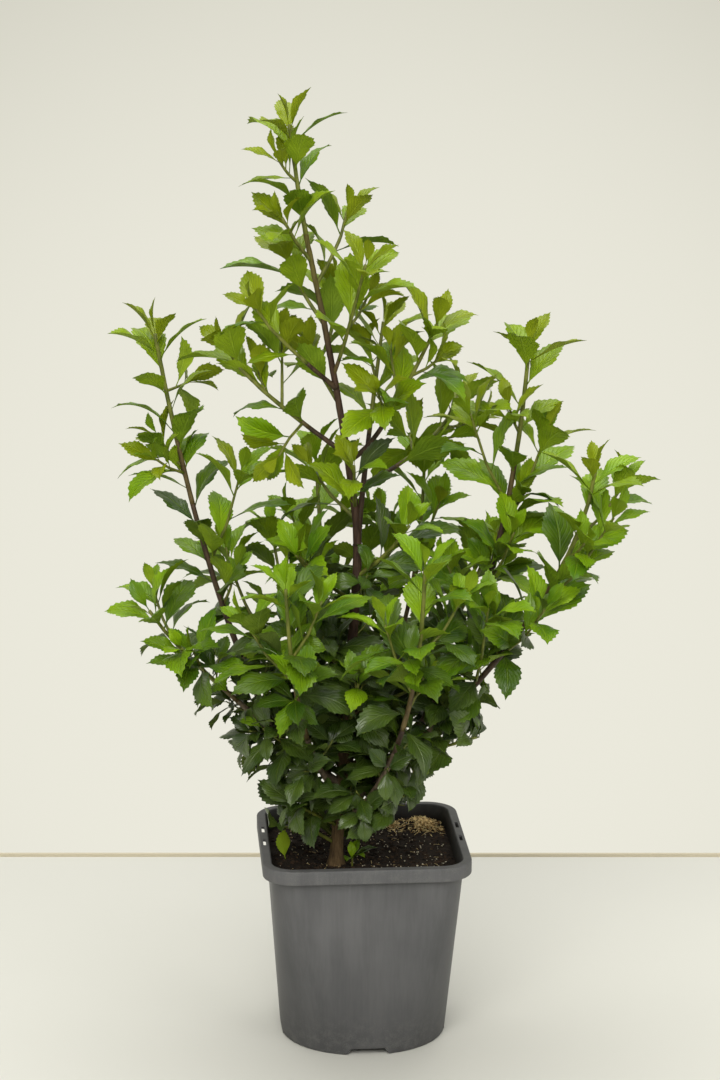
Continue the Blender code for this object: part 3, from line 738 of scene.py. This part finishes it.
TWIG_SPREAD, TWIG_CLIMB = 0.62, 0.38
TWIG_SPACING = 110.0
FIRST_TWIG, LAST_TWIG = 46.0, 24.0
TWIG_REACH = (24.0, 36.0)
TWIG_CLEAR = 0.6  # from other stems
NEAR = 14.0  # within this of its own stem, a twig may touch it
GREEN_LENGTH, TURNING_LENGTH = 90.0, 55.0  # behind a tip
STEM_SIDES = 9
GOLDEN = 137.5  # degrees from one bud to the next
SOLID_SIDES, SOLID_STEP = 11, 38.0  # of the plain trunk that new shoots keep clear of
FLARE_RINGS = (0.0, 3.0, 8.0, 16.0, 30.0)
seed = random.Random(20)


def box_of(verts):
    """Lowest and highest corner of a shape."""
    points = np.array([tuple(v) for v in verts])
    return points.min(axis=0), points.max(axis=0)


class Room:
    """What has been placed so far, so that nothing new touches it."""

    def __init__(self):
        self.owners, self.trees = [], []
        self.lows, self.highs = np.zeros((0, 3)), np.zeros((0, 3))

    def add(self, owner, verts, faces):
        low, high = box_of(verts)
        self.owners.append(owner)
        self.trees.append(BVHTree.FromPolygons(verts, faces))
        self.lows = np.vstack([self.lows, low])
        self.highs = np.vstack([self.highs, high])

    def touches(self, verts, faces, but=None, only=None):
        """Whether a shape meets any other, but one owner's or only one owner's."""
        low, high = box_of(verts)
        near = np.nonzero(((self.lows <= high) & (self.highs >= low)).all(axis=1))[0]
        tree = None
        for i in near:
            if self.owners[i] == but or only not in (None, self.owners[i]):
                continue
            tree = tree or BVHTree.FromPolygons(verts, faces)
            if tree.overlap(self.trees[i]):
                return True
        return False


room = Room()
solid_heights = [TRUNK[0][0] + rise for rise in FLARE_RINGS]
while solid_heights[-1] + SOLID_STEP < TRUNK_TIP:
    solid_heights.append(solid_heights[-1] + SOLID_STEP)
room.add("trunk", *trunk_skin(solid_heights + [TRUNK_TIP], SOLID_SIDES))
masses = {}
for name, (axis, run, bare, foot, waist, tip) in whole.items():
    room.add("bough_" + name, *tube(stretch(axis, 0, bare, 20), foot, waist, 7))
    masses["foliage_" + name] = [(stretch(axis, bare, run, STEM_STEP), waist, tip)]
leader = [at_height(TRUNK_TIP - 4 + (LEADER_TOP - TRUNK_TIP + 4) * i / 4)[0] for i in range(5)]
masses["foliage_top"] = [(leader, LEADER_FOOT, LEADER_TIP)]
for name, row in SPRAYS.items():
    axis = limb_axis(*row)
    masses["foliage_" + name] = [(stretch(axis, 0, lengths(axis)[-1], STEM_STEP), SPRAY_FOOT, SPRAY_TIP)]
for mass, stems in masses.items():
    room.add(mass, *tube(*stems[0]))


def add_shoot(mass, foot, out, rise):
    """A twig from a point on a stem, if there is room for it."""
    path = bent(foot, out, rise, TWIG_SPREAD, TWIG_CLIMB, 3)
    if room.touches(*tube(path, TWIG_FOOT + TWIG_CLEAR, TWIG_TIP + TWIG_CLEAR), but=mass):
        return
    free = tube(stretch(path, NEAR * MM, lengths(path)[-1], 2 * NEAR), TWIG_FOOT, TWIG_TIP)
    if room.touches(*free, only=mass):
        return
    masses[mass].append((path, TWIG_FOOT, TWIG_TIP))
    room.add(mass, *free)


def sideways(tangent, turn):
    """A unit vector square to a stem, at an angle round it in degrees."""
    side = tangent.orthogonal().normalized()
    side.rotate(Quaternion(tangent, math.radians(turn)))
    return side


for name, shoots in SIDE_SHOOTS.items():
    axis, run, *_ = whole[name]
    for share, heading, reach, rise in shoots:
        out = toward(math.radians(heading)) * reach * MM
        add_shoot("foliage_" + name, along(axis, run * share)[0], out, rise * MM)

for mass, stems in masses.items():
    if "_low_" in mass:
        continue
    stem = stems[0][0]
    distance = FIRST_TWIG * MM
    turn = seed.uniform(0, 360)
    while distance < lengths(stem)[-1] - LAST_TWIG * MM:
        foot, tangent = along(stem, distance)
        way = (tangent + sideways(tangent, turn) + UP / 2).normalized() * seed.uniform(*TWIG_REACH) * MM
        add_shoot(mass, foot, Vector((way.x, way.y, 0)), way.z)
        turn += GOLDEN
        distance += TWIG_SPACING * seed.uniform(0.8, 1.2) * MM

# Spurs: short twigs in the axils of older leaves, each with a tuft of small leaves of its own.
# They stand closest and reach furthest low down, where the crown is densest.
SPUR_SPACING, SPUR_REACH = 40.0, (9.0, 17.0)
LOW_SPUR_SPACING, LOW_SPUR_REACH = 26.0, (12.0, 26.0)
SPUR_RADIUS, SPUR_TAPER = 0.75, 0.8
SPUR_FORWARD, SPUR_UP, SPUR_SPREAD, SPUR_CLIMB = 0.8, 0.35, 0.6, 0.4
FIRST_SPUR, LAST_SPUR, LAST_LOW_SPUR = 10.0, 44.0, 16.0  # from the foot, and behind the tip
YOUNG_LENGTH, YOUNG_DENSE = 110.0, 0.6  # of a shoot that bears no spurs yet, and its share low down
DENSE_BELOW = 380.0  # height of the part of the crown that is densest
BARE_FROM, BARE_STEP, BARE_POINTS = 188.0, 12.0, 20  # of the trunk that bears spurs
BARE_START, BARE_END, BARE_SPACING, BARE_REACH = 14.0, 6.0, 15.0, (16.0, 32.0)
SPUR_CLEAR, BARE_CLEAR = 3.0, 7.0  # length at the foot that may touch the stem it grows from
SPUR_SEED = 3
dice = random.Random(SPUR_SEED)
spurs = {mass: [] for mass in masses}


def add_spur(mass, point, tangent, turn, reach, clear):
    """A spur from a point on a stem, if it touches nothing beyond clear from its foot."""
    way = (tangent * SPUR_FORWARD + sideways(tangent, turn) + UP * SPUR_UP).normalized() * reach * MM
    path = bent(point, Vector((way.x, way.y, 0)), way.z, SPUR_SPREAD, SPUR_CLIMB, 5)
    free = tube(stretch(path, clear * MM, lengths(path)[-1], 6), SPUR_RADIUS, SPUR_RADIUS)
    if not room.touches(*free):
        spurs[mass].append((path, SPUR_RADIUS, SPUR_RADIUS * SPUR_TAPER))
        room.add(mass, *free)


for mass, stems in masses.items():
    low = "_low_" in mass
    for path, *_ in stems:
        run = lengths(path)[-1]
        distance = run - (LAST_LOW_SPUR if low else LAST_SPUR) * MM
        turn = dice.uniform(0, 360)
        while distance > FIRST_SPUR * MM:
            point, tangent = along(path, distance)
            dense = low or point.z < DENSE_BELOW * MM
            if not low and run - distance < YOUNG_LENGTH * (YOUNG_DENSE if dense else 1) * MM:
                distance -= SPUR_SPACING * dice.uniform(0.7, 1.3) * MM
                continue
            reach = dice.uniform(*(LOW_SPUR_REACH if dense else SPUR_REACH))
            add_spur(mass, point, tangent, turn, reach, SPUR_CLEAR)
            turn += GOLDEN
            distance -= (LOW_SPUR_SPACING if dense else SPUR_SPACING) * dice.uniform(0.7, 1.3) * MM

# Low down the bare boughs and the trunk bear such tufts too.
bare_wood = [[at_height(BARE_FROM + i * BARE_STEP)[0] for i in range(BARE_POINTS)]]
for name, (axis, run, bare, *_) in whole.items():
    if LIMBS[name][0] < OLD_START:
        bare_wood.append(stretch(axis, 0, bare, 20))
for path in bare_wood:
    distance = BARE_START * MM
    turn = dice.uniform(0, 360)
    while distance < lengths(path)[-1] - BARE_END * MM:
        point, tangent = along(path, distance)
        add_spur("foliage_low_1", point, tangent, turn, dice.uniform(*BARE_REACH), BARE_CLEAR)
        turn += GOLDEN
        distance += BARE_SPACING * dice.uniform(0.7, 1.3) * MM

# Bark of the twigs by its distance behind the growing tip. A small green shoot stands beside the
# trunk's foot.
FOOT_SHOOT = -11.0, -36.0, 9.0  # its place and height
stages = {"woody": [], "turning": [], "green": []}
for mass, stems in masses.items():
    for path, foot, tip in stems:
        run = lengths(path)[-1]
        green_from = max(0.0, run - GREEN_LENGTH * MM)
        turning_from = max(0.0, green_from - TURNING_LENGTH * MM)
        ends = 0.0, turning_from, green_from, run
        for stage, start, end in zip(stages, ends, ends[1:]):
            if end > start:
                radii = (foot + (tip - foot) * at / run for at in (start, end))
                shape = tube(stretch(path, start, end, TWIG_STEP), *radii, STEM_SIDES, limb_relief)
                stages[stage].append(shape)
    for path, foot, tip in spurs[mass]:
        stages["green"].append(tube(path, foot, tip, 6))
x, y, rise = FOOT_SHOOT
foot_shoot = [Vector((x, y, surface(x, y) + lift)) * MM for lift in (-1, rise)]
stages["green"].append(tube(foot_shoot, 0.9, 0.7, 6))
turning_wood = limb_finish("turning_wood", (0.060, 0.040, 0.014), (0.14, 0.10, 0.035), 0.5)
green_wood = limb_finish("green_wood", (0.085, 0.105, 0.012), (0.19, 0.205, 0.035), 0.45)
for stage, wood in (("woody", young_wood), ("turning", turning_wood), ("green", green_wood)):
    twigs = show("twigs_" + stage, *gather(stages[stage]), [wood], None)
    "foliage" if stage == "green" else "boughs"
    if stage == "woody":
        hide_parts(*masses)

# Leaves: leathery, glossy blades on short stalks, folded along a pale midrib and curled back at
# the tip, with small soft spines round the margin. They are yellow-green and small at the tips of
# the shoots and mid green below them. The dark blue-green low down and inside the crown is partly
# the older leaves' own colour and partly painted shade, dealt out by height and nearness to the trunk.
LEAF_LENGTH = 60.0
LEAF_ROWS = 25
COLUMNS = (-1.0, -0.84, -0.42, 0.0, 0.42, 0.84, 1.0)
HALF_WIDTH, OLD_WIDER = 0.188, 0.040  # shares of the length, as the next ones are
STALK, FIRST_TOOTH, LAST_TOOTH, TOOTH = 0.09, 0.2, 0.95, 0.055
LEAF_SPACING, LOW_SPACING, TIP_SPACING = 17.0, 9.5, 4.0
GROWING = (0.50, 0.62, 0.74, 0.84, 0.92, 1.0)  # share of its full length that each leaf has at a tip
LEANS = (14.0, 34.0, 47.0, 54.0, 56.0, 54.0)  # degrees from the shoot, of the same leaves
LEAN, AGED_LEANS = 52.0, (38.0, 92.0)  # of the others, and of those in the shade
CROWDED = 5  # leaves close together at a tip
SHORT_SHOOT, LONG_SHOOT, SPUR_VIGOUR = 0.78, 420.0, 0.95  # short shoots bear smaller leaves
SPUR_LEAVES = (0.5, 0.8)  # share of the full length
INNER = 40.0  # leaves nearer the trunk than this get darker finishes, as painted shade
OLD_DROOP = 0.45  # how far those hang at most
LOWEST, LOWEST_AT, LOWEST_HALF = 177.0, (-25.0, -28.0), 38.0  # no leaf hangs lower over the trunk's foot
LOWEST_RISE, LOWEST_FALL = 1.3, 0.24  # of that, sideways and towards the back
LOW_LEAVES, LOW_SIZE = 320.0, 0.88  # leaves below this height are smaller
LEAF_SEED = 23
TRIES = ((0, 1.0), (28, 1.0), (-28, 1.0), (56, 0.9), (-56, 0.9), (90, 0.8))  # degrees aside, and size


def lowest_at(point):
    """The height in metres under which no leaf hangs, which leaves the trunk's foot in view."""
    aside = abs(point.x / MM - LOWEST_AT[0]) - LOWEST_HALF
    back = point.y / MM - LOWEST_AT[1]
    return (LOWEST + LOWEST_RISE * max(0.0, aside) - LOWEST_FALL * back) * MM


def proxy(root, axis, face, length, start=0.0):
    """A plain leaf of eight faces that keeps the true ones apart."""
    side = axis.cross(face)
    middle = root + axis * length * 0.5
    wide = length * 0.16
    verts = [
        root + axis * start,
        root + axis * length * 0.92 - face * length * 0.13,
        middle - side * wide,
        middle + side * wide,
        middle + face * length * 0.03,
        middle - face * length * 0.03,
    ]
    faces = [(0, 3, 4), (0, 4, 2), (1, 4, 3), (1, 2, 4), (0, 5, 3), (0, 2, 5), (1, 3, 5), (1, 5, 2)]
    return verts, faces


def square_to(axis, way):
    """A unit vector square to an axis, and otherwise as near as can be to a given way."""
    return (way - axis * way.dot(axis)).normalized()


def leaf_faces():
    """Faces of one blade: its upper side, then its under side of two strips and its two ends."""
    wide = len(COLUMNS)
    top = np.arange(LEAF_ROWS * wide).reshape(LEAF_ROWS, wide)
    rib = np.arange(LEAF_ROWS) + LEAF_ROWS * wide
    upper, lower = [], []
    for i in range(LEAF_ROWS - 1):
        for j in range(wide - 1):
            upper.append((top[i, j], top[i, j + 1], top[i + 1, j + 1], top[i + 1, j]))
        lower.append((top[i, 0], top[i + 1, 0], rib[i + 1], rib[i]))
        lower.append((rib[i], rib[i + 1], top[i + 1, -1], top[i, -1]))
    lower.append((rib[0], *top[0, ::-1]))
    lower.append((rib[-1], *top[-1]))
    return upper, lower


UPPER, LOWER = leaf_faces()


def blade(root, axis, face, length, age, twist):
    """Points of one leaf. Age runs from 0 at a growing tip to 1 for a leaf of last year."""
    t = np.linspace(0, 1, LEAF_ROWS)
    s = np.clip((t - STALK) / (1 - STALK), 0, 1)
    widest = 0.55 - 0.04 * age
    fullness = math.log(0.5) / math.log(widest)
    taper = np.where(s > widest, 1.50 - 0.15 * age, 1.20)
    half = (HALF_WIDTH + OLD_WIDER * age) * length * np.sin(np.pi * s**fullness) ** taper
    half = np.maximum(half, 0.013 * length * (1 - s))
    toothed = (s > FIRST_TOOTH) & (s < LAST_TOOTH)
    tooth = np.where(np.arange(LEAF_ROWS) % 2 == 1, TOOTH, -0.6 * TOOTH) * toothed
    v = np.array(COLUMNS)
    x = half[:, None] * v[None, :]
    x[:, [0, -1]] += (tooth * 0.28 * length)[:, None] * np.sign(v[[0, -1]])
    forward = np.zeros_like(x)
    forward[:, [0, -1]] = (np.maximum(tooth, 0) * 0.35 * length)[:, None]
    bend = (0.58 + 0.38 * age) * dice.uniform(0.5, 1.5)
    angle = bend * (t**1.6 - 0.25)
    step = length / (LEAF_ROWS - 1)
    run_y = np.concatenate([[0], np.cumsum(np.cos(angle[:-1]) * step)])
    run_z = np.concatenate([[0], np.cumsum(-np.sin(angle[:-1]) * step)])
    across = np.abs(v)[None, :]
    fold = dice.uniform(0.60, 1.0) * (1 - 0.35 * age)
    z = half[:, None] * (fold * across - 0.42 * across**2)
    waves = np.sin(t * math.tau * dice.uniform(2.2, 3.2) + dice.uniform(0, 6))[:, None]
    z += half[:, None] * across**2 * 0.10 * waves * np.sign(v)[None, :]
    across_turn = twist * t[:, None]
    rib = np.stack([np.zeros(LEAF_ROWS), run_y, run_z - 0.012 * length * (1 - 0.7 * t)], axis=1)
    cosine, sine = np.cos(across_turn), np.sin(across_turn)
    x, z = x * cosine - z * sine, x * sine + z * cosine
    y = run_y[:, None] + forward + z * np.sin(angle)[:, None]
    z = run_z[:, None] + z * np.cos(angle)[:, None]
    frame_axes = np.array([tuple(axis.cross(face)), tuple(axis), tuple(face)])
    flat = np.concatenate([np.stack([x, y, z], axis=2).reshape(-1, 3), rib])
    return np.array(root) + flat @ frame_axes


def veins_of(made):
    """The midrib of a leaf, and the side veins that slant from it to the margin."""
    place = made.wire.node("UVMap")
    across, down = (made.wire.node("SeparateXYZ", {}, {0: place}, i) for i in (0, 1))
    aside = across.node("Math", {"operation": "ABSOLUTE"}, {0: across - 0.5})
    slant = down * 9 - aside * 7
    waves = slant.node("Math", {"operation": "SINE"}, {0: slant * math.tau})
    return 1 - aside.rise(0.012, 0.045), waves.rise(0.55, 1.0)


def leaf_finish(name, dark, light, rough, gloss):
    """A glossy upper side: paler along the midrib, with side veins pressed in."""
    made = Finish(name, Specular_IOR_Level=gloss, IOR=1.45)
    rib, veins = veins_of(made)
    tone = made.wire.cloud(34, 3).rise(0.3, 0.7)
    body = tone.mix(dark, light)
    pale = tuple(min(1.0, c * 1.45 + 0.03) for c in light[:2]) + (light[2] * 1.5 + 0.004,)
    made.vary("Base Color", (rib * 0.42 + veins * 0.08).mix(body, pale))
    made.vary("Roughness", rough + made.wire.cloud(300, 2) * 0.16)
    made.bump(rib * -1.4 - veins * 0.9 + made.wire.cloud(300, 1) * 0.3, 0.0010, 0.7)
    return made.material


def under_finish(name, dark, light):
    """A matt, paler under side, from which the veins stand out."""
    made = Finish(name, Roughness=0.65, Specular_IOR_Level=0.2)
    rib, veins = veins_of(made)
    pale = tuple(c * 1.3 + 0.01 for c in light)
    body = made.wire.cloud(60, 3).rise(0.3, 0.7).mix(dark, light)
    made.vary("Base Color", (rib * 0.55 + veins * 0.22).mix(body, pale))
    made.bump(rib * 1.4 + veins * 0.9, 0.0010, 0.7)
    return made.material


KINDS = {  # dark and light tone, roughness, gloss
    "tip": ((0.162, 0.226, 0.002), (0.245, 0.315, 0.006), 0.28, 0.30),
    "fresh": ((0.162, 0.266, 0.003), (0.252, 0.368, 0.006), 0.26, 0.30),
    "bright": ((0.152, 0.290, 0.004), (0.252, 0.412, 0.009), 0.26, 0.30),
    "mid": ((0.072, 0.172, 0.004), (0.180, 0.312, 0.008), 0.24, 0.40),
    "old": ((0.031, 0.083, 0.002), (0.094, 0.172, 0.006), 0.25, 0.55),
    "low": ((0.026, 0.058, 0.005), (0.075, 0.126, 0.013), 0.26, 0.75),
}
# Paler under sides, as the real leaves have; on tip and fresh leaves raised further, as painted light
# shining through them.
UNDERSIDES = {  # dark and light tone
    "tip": ((0.222, 0.285, 0.006), (0.284, 0.352, 0.010)),
    "fresh": ((0.200, 0.305, 0.008), (0.268, 0.382, 0.012)),
    "bright": ((0.192, 0.300, 0.008), (0.264, 0.385, 0.012)),
    "mid": ((0.138, 0.232, 0.009), (0.204, 0.316, 0.014)),
    "old": ((0.088, 0.148, 0.007), (0.143, 0.214, 0.012)),
    "low": ((0.068, 0.110, 0.014), (0.114, 0.164, 0.024)),
}
SUNNY, SHADED, DIM, DARK, LOW_DARK = 490, 470, 415, 295, 335  # heights that stand for light
LIGHT_SPREAD = 30
TIP_RANKS, YOUNG_RANKS, YOUNG_BEHIND = 3, 8, 34  # leaves at a tip, and young ones below them
TIP_KINDS = ((SUNNY, "tip"), (362, "bright"), (325, "mid"), (0, "old"))  # each above its height
YOUNG_KINDS = ((SUNNY, "fresh"), (412, "bright"), (345, "mid"), (0, "old"))


def kind_of(rank, behind, height, low, inner):
    """Which of the finishes a leaf has, by its place on the shoot and in the crown."""
    # Height stands for light here: the darker finishes low down and near the trunk are painted shade.
    light = height / MM + shades.gauss(0, LIGHT_SPREAD)
    if light < DARK or (low and light < LOW_DARK):
        return "low"
    if inner and light < SHADED and rank > TIP_RANKS:
        return "old" if shades.random() < 0.6 else "low"
    if rank <= TIP_RANKS:
        return next(kind for least, kind in TIP_KINDS if light > least)
    if rank <= YOUNG_RANKS or behind < YOUNG_BEHIND:
        if light > SUNNY and shades.random() < 0.2:
            return "mid"
        return next(kind for least, kind in YOUNG_KINDS if light > least)
    if light < DIM:
        return "old" if shades.random() < 0.7 else "low"
    return "mid" if light > SUNNY or shades.random() < 0.6 else "old"


dice, shades = random.Random(LEAF_SEED), random.Random(5)
leaves = {kind: [] for kind in KINDS}
blades = Room()
buds = []
for mass, stems in masses.items():
    low = "_low_" in mass
    for path, foot, tip in stems:
        run = lengths(path)[-1] / MM
        vigour = min(1.0, SHORT_SHOOT + run / LONG_SHOOT)
        behind, rank, turn = 0.6, 0, dice.uniform(0, 360)
        while behind < run - 3:
            point, tangent = along(path, (run - behind) * MM)
            radius = tip + (foot - tip) * behind / run
            spot = mass, point, tangent, turn, radius
            buds.append((rank, dice.random(), *spot, behind, low, False, vigour))
            turn += GOLDEN + dice.uniform(-14, 14)
            spacing = LOW_SPACING if low else LEAF_SPACING
            spacing *= 1 - 0.25 * (not low and point.z < DENSE_BELOW * MM)
            behind += TIP_SPACING if rank < CROWDED else spacing * dice.uniform(0.8, 1.2)
            rank += 1
    for path, foot, tip in spurs[mass]:
        run = lengths(path)[-1] / MM
        turn = dice.uniform(0, 360)
        for rank in range(2 + round(run / 6)):
            point, tangent = along(path, (run - 0.5 - rank * 3.2) * MM)
            spot = mass, point, tangent, turn, foot
            buds.append((rank + 2, dice.random(), *spot, 20, low, True, SPUR_VIGOUR))
            turn += GOLDEN
buds.sort(key=lambda bud: bud[:2])
for rank, _, mass, point, tangent, turn, radius, behind, low, spur, vigour in buds:
    length = LEAF_LENGTH * vigour * dice.uniform(0.84, 1.1)
    lean = LEAN
    if spur:
        length *= dice.uniform(*SPUR_LEAVES)
    elif rank < len(GROWING):
        length *= GROWING[rank]
        lean = LEANS[rank]
    aged = low or (point.z < DENSE_BELOW * MM and rank > 4)
    if aged:
        lean = dice.uniform(*AGED_LEANS)
        length *= LOW_SIZE if point.z < LOW_LEAVES * MM else 1.0
    for extra, size in TRIES:
        side = sideways(tangent, turn + extra)
        tilt = math.radians(lean + dice.uniform(-7, 7))
        axis = tangent * math.cos(tilt) + side * math.sin(tilt) - UP * (OLD_DROOP * aged * dice.random())
        axis.normalize()
        face = square_to(axis, tangent) + UP * 0.6
        if aged:
            face += side.cross(tangent) * dice.uniform(-0.7, 0.7)
        face = square_to(axis, face)
        root = point + axis * radius * 0.5 * MM
        full = length * size * MM
        shape = proxy(root, axis, face, full, 4 * MM)
        if room.touches(*shape, but=mass) or blades.touches(*shape):
            continue
        end = root + axis * full
        if end.z < lowest_at(end):
            continue
        blades.add(mass, *shape)
        age = min(1.0, rank / 9) if not low else 1.0
        stem = at_height(min(max(root.z / MM, TRUNK[0][0]), TRUNK[-1][0]))[0]
        inner = (root - stem).length < INNER * MM
        kind = kind_of(rank + 3 * spur, behind, root.z, low, inner)
        leaves[kind].append(blade(root, axis, face, full, age, dice.uniform(-0.35, 0.35) * (1 + aged)))
        break

# Leaves of the small shoot beside the trunk's foot, and a pale fallen one that stands on the
# compost and leans on the pot's left side.
FOOT_LEAVES = (
    ("old", 25.0, 20, 72),
    ("mid", 21.0, 300, 66),
    ("old", 24.0, 345, 55),
    ("old", 20.0, 250, 70),
    ("mid", 20.0, 60, 40),
    ("bright", 17.0, 100, 15),
)  # kind, length, heading, degrees from upright
FALLEN_AT, FALLEN_LENGTH = (-66.0, -10.0), 27.0
for kind, length, heading, lean in FOOT_LEAVES:
    side = toward(math.radians(heading))
    tilt = math.radians(lean)
    axis = UP * math.cos(tilt) + side * math.sin(tilt)
    face = square_to(axis, UP)
    root = foot_shoot[0] + UP * FOOT_SHOOT[2] * dice.uniform(0.6, 1.0) * MM
    leaves[kind].append(blade(root, axis, face, length * MM, 0.6, 0.1))
x, y = FALLEN_AT
root = Vector((x, y, surface(x, y) + 0.5)) * MM
axis = Vector((-0.05, 0.4, 1)).normalized()
face = square_to(axis, Vector((0.6, -1, 0.2)))
leaves["fresh"].append(blade(root, axis, -face, FALLEN_LENGTH * MM, 0.9, 1.2))

ROW_PLACES = np.linspace(0, 1, LEAF_ROWS)
UV_ACROSS = np.concatenate([np.tile((np.array(COLUMNS) + 1) / 2, LEAF_ROWS), np.full(LEAF_ROWS, 0.5)])
UV_DOWN = np.concatenate([np.repeat(ROW_PLACES, len(COLUMNS)), ROW_PLACES])
UV = np.stack([UV_ACROSS, UV_DOWN], axis=1)
for kind, finish in KINDS.items():
    materials = [leaf_finish("leaf_" + kind, *finish)]
    materials.append(under_finish("leaf_under_" + kind, *UNDERSIDES[kind]))
    groups = {kind: leaves[kind]}
    if kind == "low":
        shapes = sorted(leaves[kind], key=lambda shape: shape[0][1])
        half = len(shapes) // 2
        groups = {"low_front": shapes[:half], "low_back": shapes[half:]}
    for group, shapes in groups.items():
        verts = np.concatenate(shapes)
        count = len(shapes[0])
        faces = []
        for k in range(len(shapes)):
            faces += [tuple(int(i) + k * count for i in face) for face in UPPER + LOWER]
        piece = show("leaves_" + group, verts, faces, materials, math.radians(100))
        mesh = piece.data
        index = np.tile(np.array([0] * len(UPPER) + [1] * len(LOWER)), len(shapes))
        mesh.polygons.foreach_set("material_index", index.astype(np.int32))
        corners = np.zeros(len(mesh.loops), dtype=np.int32)
        mesh.loops.foreach_get("vertex_index", corners)
        layer = mesh.uv_layers.new(name="UVMap")
        layer.data.foreach_set("uv", UV[corners % count].ravel())
        "low_foliage" if kind == "low" else "foliage"

# Stage: a pale laminate table top in front of a cream studio wall; a tan strip along its back edge is
# a painted shadow line where it meets the wall. Soft light comes from above and from both sides in
# front.
TABLE_WIDTH, TABLE_FRONT, TABLE_BACK = 4.0, -2.6, 0.424
TABLE_THICK, SHADOW_LINE_DEEP, SHADOW_LINE_HIGH = 0.03, 0.004, 0.003
CAMERA_TURN, CAMERA_PITCH, CAMERA_YAW = -0.0744, 0.2390, 0.0007
CAMERA_AWAY, CAMERA_HEIGHT, LENS = 2.442, 1.026, 100.46
GLOW_PITCH = 0.275  # how far below the horizon the wall is lightest
WALL_NEAR, WALL_FAR = (0.83, 0.815, 0.715), (0.54, 0.53, 0.45)  # light of the studio wall
ROOM = (0.24, 0.235, 0.205)  # light behind the camera
YAW = CAMERA_TURN + CAMERA_YAW
AHEAD = Vector((-math.sin(YAW), math.cos(YAW), 0))
AIM = AHEAD * math.cos(CAMERA_PITCH) - UP * math.sin(CAMERA_PITCH)
GLOW = AHEAD * math.cos(GLOW_PITCH) - UP * math.sin(GLOW_PITCH)


def slab(name, front, back, low, high, finish):
    """A level board across the picture, between two distances and two heights."""
    ahead = Vector((-math.sin(CAMERA_TURN), math.cos(CAMERA_TURN), 0))
    right = Vector((ahead.y, -ahead.x, 0)) * TABLE_WIDTH / 2
    corners = ((front, -1), (front, 1), (back, 1), (back, -1))
    rings = [[ahead * away + right * side + UP * z for away, side in corners] for z in (low, high)]
    board = put(name, mesh_of(name, *loft(rings), [finish.material]))


pale = (0.69, 0.69, 0.65, 1)
laminate = Finish("table_laminate", Roughness=0.55, Specular_IOR_Level=0.3, Base_Color=pale)
slab("table_top", TABLE_FRONT, TABLE_BACK, -TABLE_THICK, 0.0, laminate)
# A tan strip along the back edge: a painted shadow line where the table meets the wall.
shadow_tan = (0.62, 0.56, 0.43, 1)
shadow_line_finish = Finish("table_edging", Roughness=0.7, Specular_IOR_Level=0.2, Base_Color=shadow_tan)
slab("table_edging", TABLE_BACK, TABLE_BACK + SHADOW_LINE_DEEP, -TABLE_THICK, SHADOW_LINE_HIGH, shadow_line_finish)

world = bpy.data.worlds.new("studio")
bpy.context.scene.world = world
world.use_nodes = True
backdrop = Wire(world.node_tree)
facing = backdrop.node("TexCoord", output="Generated")
unit = backdrop.node("VectorMath", {"operation": "NORMALIZE"}, {0: facing})
inward = backdrop.node("VectorMath", {"operation": "DOT_PRODUCT"}, {0: unit, 1: tuple(GLOW)}, 1)
glow = inward.rise(0.945, 0.999)
shade = world.node_tree.nodes["Background"]
around = inward.rise(-0.1, 0.8).mix(ROOM, WALL_FAR)
world.node_tree.links.new(glow.mix(around, WALL_NEAR).socket, shade.inputs["Color"])
shade.inputs["Strength"].default_value = 1.0

LIGHTS = {  # place, size, power, colour
    "key_light": ((-0.6, -2.4, 2.1), 1.8, 63.0, (1.0, 0.98, 0.92)),
    "fill_light": ((1.5, -1.9, 1.4), 1.3, 13.0, (1.0, 0.98, 0.95)),
    "top_light": ((0.0, 0.4, 2.6), 2.4, 52.0, (1.0, 0.99, 0.96)),
}
LIT = Vector((0, 0, 0.4))  # the point that they shine on
for name, (place, size, power, colour) in LIGHTS.items():
    lamp = bpy.data.lights.new(name, "AREA")
    lamp.size = size
    lamp.energy = power
    lamp.color = colour
    item = put(name, lamp)
    item.location = place
    item.rotation_euler = (LIT - Vector(place)).to_track_quat("-Z", "Y").to_euler()

lens = bpy.data.cameras.new("camera")
lens.sensor_width = 36.0
lens.lens = LENS
camera = put("camera", lens)
x, y = math.sin(CAMERA_TURN) * CAMERA_AWAY, -math.cos(CAMERA_TURN) * CAMERA_AWAY
camera.location = (x, y, CAMERA_HEIGHT)
camera.rotation_euler = AIM.to_track_quat("-Z", "Y").to_euler()
bpy.context.scene.camera = camera
bpy.context.scene.view_settings.view_transform = "Standard"
